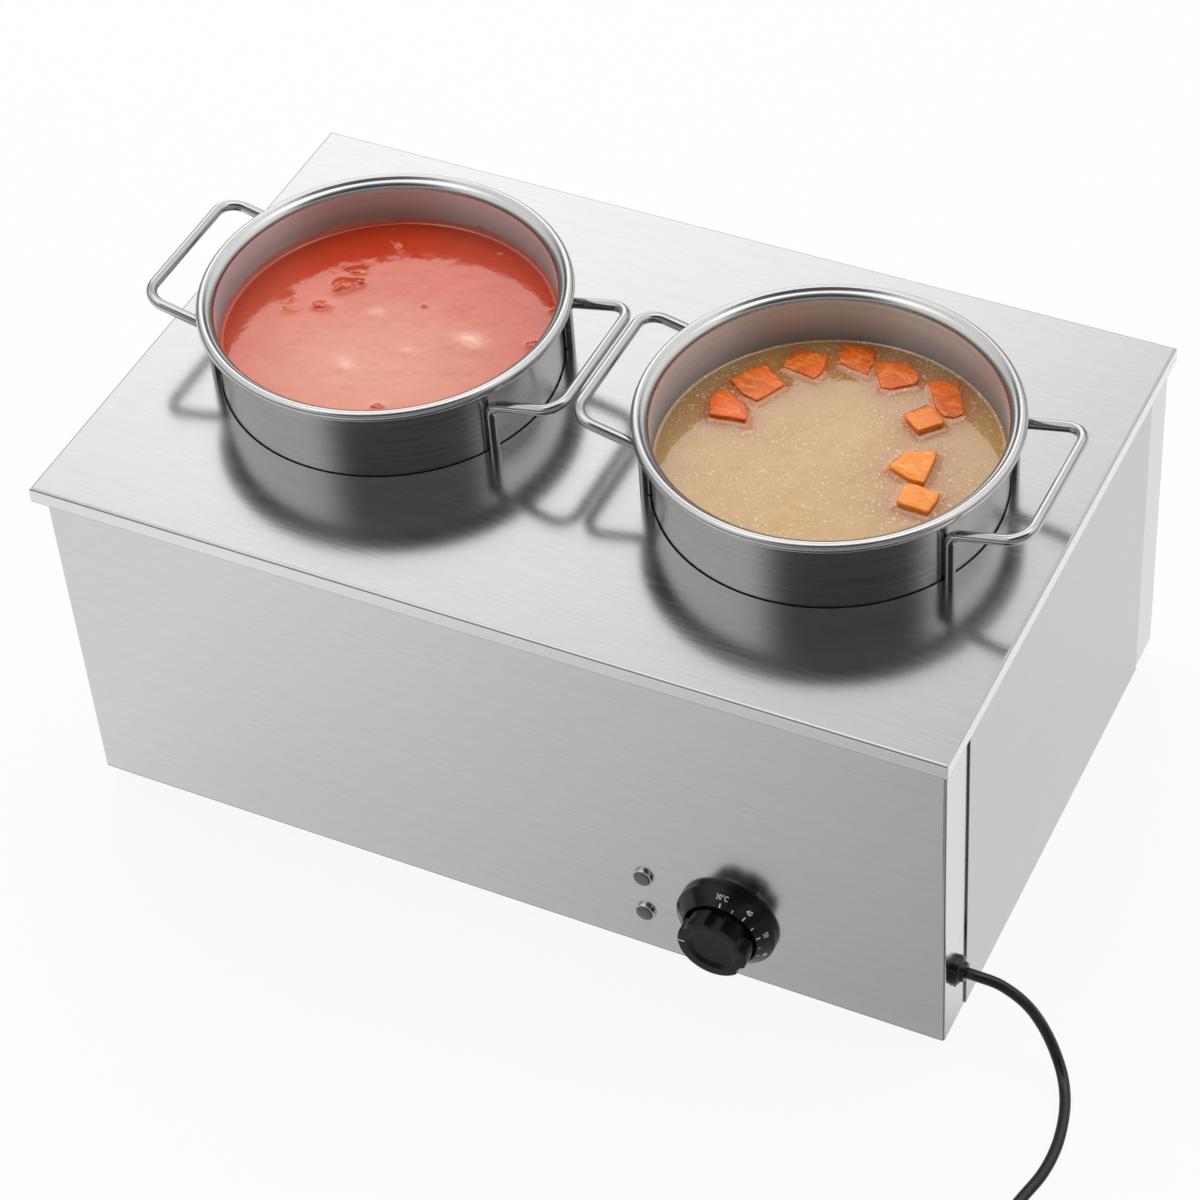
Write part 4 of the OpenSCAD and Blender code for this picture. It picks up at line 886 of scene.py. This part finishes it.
class STATION_OT_tomato_soup(bpy.types.Operator):
    """Fill the left pot with tomato soup"""

    bl_idname = "station.tomato_soup"
    bl_label = "Tomato soup"

    def execute(self, context):
        sizes, colours = context.scene.station_sizes, context.scene.station_colours
        level = sizes.tomato_level
        bm, centre = fill_pot("left", level, 0.00030)
        soup = tomato_finish(colours, centre.xy.to_3d() + Vector((*PAINTED_SHEEN_PLACE, level)))
        skin = bm.verts.layers.float.new("skin")
        for v in bm.verts:
            if v.co.z > level - SOUP_SKIN:
                at = (v.co.xy - centre.xy) / MM
                # Over the covered lumps the soup is painted paler pink, a painted highlight, kept at its points as skin
                sunk = soup_swell(at, SUNK_LUMPS)
                v[skin] = sunk * (1.1 + 0.8 * noise.noise(at.to_3d() * 0.3))
                v.co.z += (soup_swell(at, LUMPS) + sunk) * MM
        piece("tomato_soup", bm, "left_pot", "pot_steel", soup)

        bits = bmesh.new()
        for i, (x, y, length, width, height, turn) in enumerate(LUMPS):
            lump = bmesh.new()
            bmesh.ops.create_icosphere(lump, subdivisions=4, radius=1)
            for v in lump.verts:
                v.co *= 1 + 0.34 * noise.noise(v.co * 1.3 + X * 7 * i) + 0.12 * noise.noise(v.co * 4 + Y * 3 * i)
            shape = Matrix.Diagonal((length * MM / 2, width * MM / 2, height * MM * 1.5, 1))
            place = Matrix.Translation((centre.x + x * MM, centre.y + y * MM, level - height * MM * 0.55))
            join(bits, lump, place @ Matrix.Rotation(math.radians(turn), 4, "Z") @ shape)
        piece("soup_vegetables", bits, "left_pot", "pot_steel", vegetable_finish())

        near, far, foot, head = 0.10605, 0.10628, level - 0.002, level + 0.0052
        wet = outline(((near, foot), (near, head), (far, head), (far, foot), (near, foot)))
        film = lathe(wet, Vector((centre.x, centre.y, 0)), Z, X, 288)
        for v in film.verts:
            if v.co.z > level + 0.003:
                flat = Vector((v.co.x - centre.x, v.co.y - centre.y, 0))
                v.co.z += 0.0016 * noise.noise(flat * 45) + 0.0010 * noise.noise(flat * 160)
        piece("soup_film", film, "left_pot", "pot_steel", film_finish())
        return {"FINISHED"}


class STATION_OT_broth(bpy.types.Operator):
    """Fill the right pot with broth and carrots"""

    bl_idname = "station.broth"
    bl_label = "Broth with carrots"

    def execute(self, context):
        sizes, colours = context.scene.station_sizes, context.scene.station_colours
        level = sizes.broth_level
        bm, centre = fill_pot("right", level, 0.00020)
        glow = bm.verts.layers.float.new("near_carrot")
        for v in bm.verts:
            if v.co.z > level - SOUP_SKIN:
                near = carrot_distance((v.co.xy - centre.xy) / MM)
                v[glow] = max(0, math.exp(-near / 14) - 0.12) / 0.88
                v.co.z += 1.1 * MM * math.exp(-near / 1.3)
        piece("broth", bm, "right_pot", "pot_steel", broth_finish(colours))

        finish = carrot_finish(colours)
        noise.seed_set(CARROT_SEED)  # vector noise would start from the clock
        for i, (height, lean, tip, painted_paleness, corners) in enumerate(CARROTS):
            heart = sum((Vector(c) for c in corners), Vector((0, 0))) / len(corners)
            bm = bmesh.new()
            verts = [bm.verts.new((*((Vector(c) - heart) * 0.96), 0)) for c in corners]
            edges = [bm.edges.new(pair) for pair in zip(verts, verts[1:] + verts[:1])]
            bmesh.ops.edgeloop_fill(bm, edges=edges)
            down = bmesh.ops.extrude_face_region(bm, geom=bm.faces[:])["geom"]
            low = [g for g in down if isinstance(g, bmesh.types.BMVert)]
            bmesh.ops.translate(bm, vec=(0, 0, -CARROT_DEPTH), verts=low)
            bmesh.ops.scale(bm, vec=(0.9, 0.9, 1), verts=low)
            bmesh.ops.recalc_face_normals(bm, faces=bm.faces)
            bmesh.ops.bevel(bm, geom=bm.edges[:], offset=1.0, offset_type="OFFSET", affect="EDGES", segments=3,
                            profile=0.5, clamp_overlap=True, material=-1)
            bmesh.ops.poke(bm, faces=[face for face in bm.faces if len(face.verts) > 4])
            bmesh.ops.subdivide_edges(bm, edges=[e for e in bm.edges if e.calc_length() > 1.2], cuts=2,
                                      use_grid_fill=True)
            for v in bm.verts:
                wave = noise.noise_vector(v.co * 0.16 + X * 5 * i) * 0.9 + noise.noise_vector(v.co * 0.5 + Y * i) * 0.25
                v.co += Vector((wave.x * 0.6, wave.y * 0.6, wave.z * 0.45 + v.co.x * lean + v.co.y * tip))
            bmesh.ops.triangulate(bm, faces=[face for face in bm.faces if len(face.verts) > 4])
            place = Matrix.Translation((centre.x + heart.x * MM, centre.y + heart.y * MM, level + height * MM))
            bmesh.ops.transform(bm, verts=bm.verts, matrix=place @ Matrix.Diagonal((MM, MM, MM, 1)))
            bmesh.ops.recalc_face_normals(bm, faces=bm.faces)
            # This piece's paleness, a painted sheen, kept at its points
            pale = bm.verts.layers.float.new("pale")
            for v in bm.verts:
                v[pale] = painted_paleness
            piece(f"carrot_{i + 1}", bm, "right_pot", "pot_steel", finish, sharp=60)
        return {"FINISHED"}


class STATION_OT_dial(bpy.types.Operator):
    """Turn the dial ring and print its scale"""

    bl_idname = "station.dial"
    bl_label = "Dial"

    def execute(self, context):
        scene = context.scene
        plastic = moulded("dial_plastic", scene.station_colours.plastic, 0.22, 0.03, 0.15)
        ink = painted("dial_ink", (0.92, 0.92, 0.90))
        bore, well, floor = 0.006, 0.0239, 0.002
        shape = outline(((bore, 0), (DIAL_FOOT[0], 0, 0.0003), (*DIAL_FOOT, 0.0005), (*DIAL_TOP, 0.0004),
                         (well, DIAL_TOP[1], 0.0003), (well, floor), (bore, floor), (bore, 0)), 4)
        ring = lathe(shape, Vector((DIAL.x, FRONT_FACE, DIAL.z)), -Y, X, 128)
        piece("dial_face", ring, "cabinet", "black_plastic", plastic, instead_of=("dial_ring",))

        scale = bmesh.new()
        least, start = 30, 0.0250
        for value in range(least, 90, 5):
            angle = math.radians(89 - (value - least) * 3.71)
            long = value % 10 == 0
            self.stroke(scale, angle, start, 0.0269 if long else 0.0263, 0.00085 if long else 0.0006)
            if long:
                self.numeral(scale, "30°C" if value == least else str(value), angle, scene)
        self.stroke(scale, math.pi, start, 0.0305, 0.0009)
        bmesh.ops.recalc_face_normals(scale, faces=scale.faces)
        piece("dial_scale", scale, "cabinet", "black_plastic", ink)
        return {"FINISHED"}

    def stroke(self, scale, angle, start, end, width):
        """A raised stroke along the slope."""
        bar = bmesh.new()
        bmesh.ops.create_cube(bar, size=1)
        bmesh.ops.subdivide_edges(bar, edges=bar.edges[:], cuts=1, use_grid_fill=True)
        for v in bar.verts:
            radius = start + (v.co.x + 0.5) * (end - start)
            v.co = on_dial(angle + v.co.y * width / radius, radius, cone_out(radius) + v.co.z * 0.00012)
        join(scale, bar)

    def numeral(self, scale, text, angle, scene):
        """A number whose head points outwards."""
        letters = bpy.data.curves.new("numeral", "FONT")
        letters.body, letters.align_x, letters.align_y, letters.size = text, "CENTER", "CENTER", 1.0
        letters.extrude, letters.offset, letters.resolution_u = 0.012, 0.004, 3
        maker = bpy.data.objects.new("numeral", letters)
        scene.collection.objects.link(maker)
        bpy.context.view_layer.update()
        mesh = bpy.data.meshes.new_from_object(maker.evaluated_get(bpy.context.evaluated_depsgraph_get()))
        bpy.data.objects.remove(maker)
        mark = bmesh.new()
        mark.from_mesh(mesh)
        bpy.data.meshes.remove(mesh)
        bmesh.ops.triangulate(mark, faces=[f for f in mark.faces if len(f.verts) > 4])
        height, middle_radius = scene.station_sizes.numeral_height, 0.0294
        for v in mark.verts:
            radius = middle_radius + v.co.y * height * 0.707
            v.co = on_dial(angle - v.co.x * height * 0.86 / middle_radius, radius, cone_out(radius) + v.co.z * 0.004)
        join(scale, mark)


class STATION_OT_grip(bpy.types.Operator):
    """Turn the grip of the thermostat and cut its flutes"""

    bl_idname = "station.grip"
    bl_label = "Grip"

    def execute(self, context):
        plastic = moulded("grip_plastic", context.scene.station_colours.plastic, 0.24, 0.03, 0.06)
        rim, dish, hollow, hub, bore = 0.0228, 0.0160, 0.0194, 0.0052, 0.0032
        front, dip, back = 0.0252, 0.0232, 0.0055
        shape = outline(((0, dip), (0.0132, dip, 0.0016), (dish, front, 0.0010), (rim, front, 0.0014), (rim, 0.0150),
                         (rim - 0.0004, back, 0.0005), (hollow, back), (hollow, 0.0165), (hub, 0.0165), (hub, back),
                         (bore, back), (bore, 0.0170), (0, 0.0170)), 6)
        bm = lathe(shape, Vector((DIAL.x, FRONT_FACE, DIAL.z)), -Y, X, 240)
        axis = Vector((DIAL.x, 0, DIAL.z))
        # Flutes are round cuts whose middles stand this far from the axis
        reach, cut = 0.0297, 0.009
        for v in bm.verts:
            flat = Vector((v.co.x, 0, v.co.z)) - axis
            if flat.length < dish:
                continue
            angle = math.atan2(flat.z, flat.x)
            limit = rim
            for degrees in (147, 87, 27, -33):
                off = angle - math.radians(degrees)
                off = math.atan2(math.sin(off), math.cos(off))
                inside = cut ** 2 - (reach * math.sin(off)) ** 2
                if inside > 0 and abs(off) < 1:
                    limit = min(limit, reach * math.cos(off) - math.sqrt(inside))
            out = FRONT_FACE - v.co.y
            if flat.length > rim - 0.0030 or out > 0.02:
                share = (limit - dish) / (rim - dish)
                flat = flat.normalized() * (dish + (flat.length - dish) * share)
                v.co = Vector((axis.x + flat.x, v.co.y, axis.z + flat.z))
        piece("grip", bm, "thermostat_knob", "black_plastic", plastic, instead_of=("knob_grip",), sharp=42)

        mark = bmesh.new()
        width, depth = 0.0009, 0.00014
        for start, end, turned in ((0.0176, 0.0217, False), (0.0186, 0.0236, True)):
            bar = bmesh.new()
            bmesh.ops.create_cube(bar, size=1)
            for v in bar.verts:
                along = start + (v.co.x + 0.5) * (end - start)
                side, out = v.co.y * width, v.co.z * depth
                if turned:
                    v.co = Vector((axis.x - rim - out, FRONT_FACE - along, axis.z + side))
                else:
                    v.co = Vector((axis.x - along, FRONT_FACE - front - out, axis.z + side))
            join(mark, bar)
        bmesh.ops.recalc_face_normals(mark, faces=mark.faces)
        piece("grip_pointer", mark, "thermostat_knob", "black_plastic", painted("pointer_ink", (0.8, 0.8, 0.78)))
        return {"FINISHED"}


class STATION_OT_pilot_lamps(bpy.types.Operator):
    """Turn the bezels and lenses of the two pilot lamps"""

    bl_idname = "station.pilot_lamps"
    bl_label = "Pilot lamps"

    def execute(self, context):
        chrome = polished_steel("lamp_chrome", (0.58, 0.58, 0.59), 0.07)
        glass = lamp_glass("lamp_glass")
        rim, seat, neck, bore, lens = 0.0067, 0.0055, 0.0050, 0.0042, 0.00535
        front, step, depth = 0.0024, 0.0007, 0.0105
        for name in ("upper", "lower"):
            centre = middle(f"{name}_lamp_bezel")
            origin = Vector((centre.x, FRONT_FACE, centre.z))
            ring = outline(((bore, 0), (rim, 0), (rim, front, 0.0010), (seat, front, 0.0002), (seat, step),
                            (neck, step), (neck, -depth), (bore, -depth), (bore, 0)), 5)
            piece(f"{name}_bezel", lathe(ring, origin, -Y, X, 64), "cabinet", "lamp_bezel", chrome,
                  instead_of=(f"{name}_lamp_bezel",))
            dome = [Vector((lens * math.sin(a), 0.0029 + 0.0008 * math.cos(a)))
                    for a in (math.radians(d) for d in range(0, 91, 6))]
            dome += [Vector((lens, step)), Vector((0, step))]
            piece(f"{name}_lens", lathe(dome, origin, -Y, X, 56), "cabinet", "lamp_lens", glass,
                  instead_of=(f"{name}_lamp_lens",))
        return {"FINISHED"}


class STATION_PT_panel(bpy.types.Panel):
    """Lists the pieces of the soup station"""

    bl_idname = "STATION_PT_panel"
    bl_label = "Soup station"
    bl_space_type = "VIEW_3D"
    bl_region_type = "UI"
    bl_category = "Soup station"

    def draw(self, context):
        for group in (context.scene.station_sizes, context.scene.station_colours):
            column = self.layout.column()
            for name in group.__annotations__:
                column.prop(group, name)
        for operator in OPERATORS:
            self.layout.operator(operator.bl_idname)


OPERATORS = (STATION_OT_camera, STATION_OT_mains_cord, STATION_OT_stage, STATION_OT_cabinet, STATION_OT_inner_parts,
             STATION_OT_pots, STATION_OT_handles, STATION_OT_tomato_soup, STATION_OT_broth, STATION_OT_dial,
             STATION_OT_grip, STATION_OT_pilot_lamps)
CLASSES = (StationSizes, StationColours) + OPERATORS + (STATION_PT_panel,)


def register():
    for cls in CLASSES:
        bpy.utils.register_class(cls)
    bpy.types.Scene.station_sizes = PointerProperty(type=StationSizes)
    bpy.types.Scene.station_colours = PointerProperty(type=StationColours)


def unregister():
    del bpy.types.Scene.station_colours
    del bpy.types.Scene.station_sizes
    for cls in reversed(CLASSES):
        bpy.utils.unregister_class(cls)


def main():
    register()
    bpy.ops.station.camera()
    bpy.ops.station.mains_cord()
    bpy.ops.station.stage()
    bpy.ops.station.cabinet()
    bpy.ops.station.inner_parts()
    bpy.ops.station.pots()
    bpy.ops.station.handles()
    bpy.ops.station.tomato_soup()
    bpy.ops.station.broth()
    bpy.ops.station.dial()
    bpy.ops.station.grip()
    bpy.ops.station.pilot_lamps()


if __name__ == "__main__":
    main()
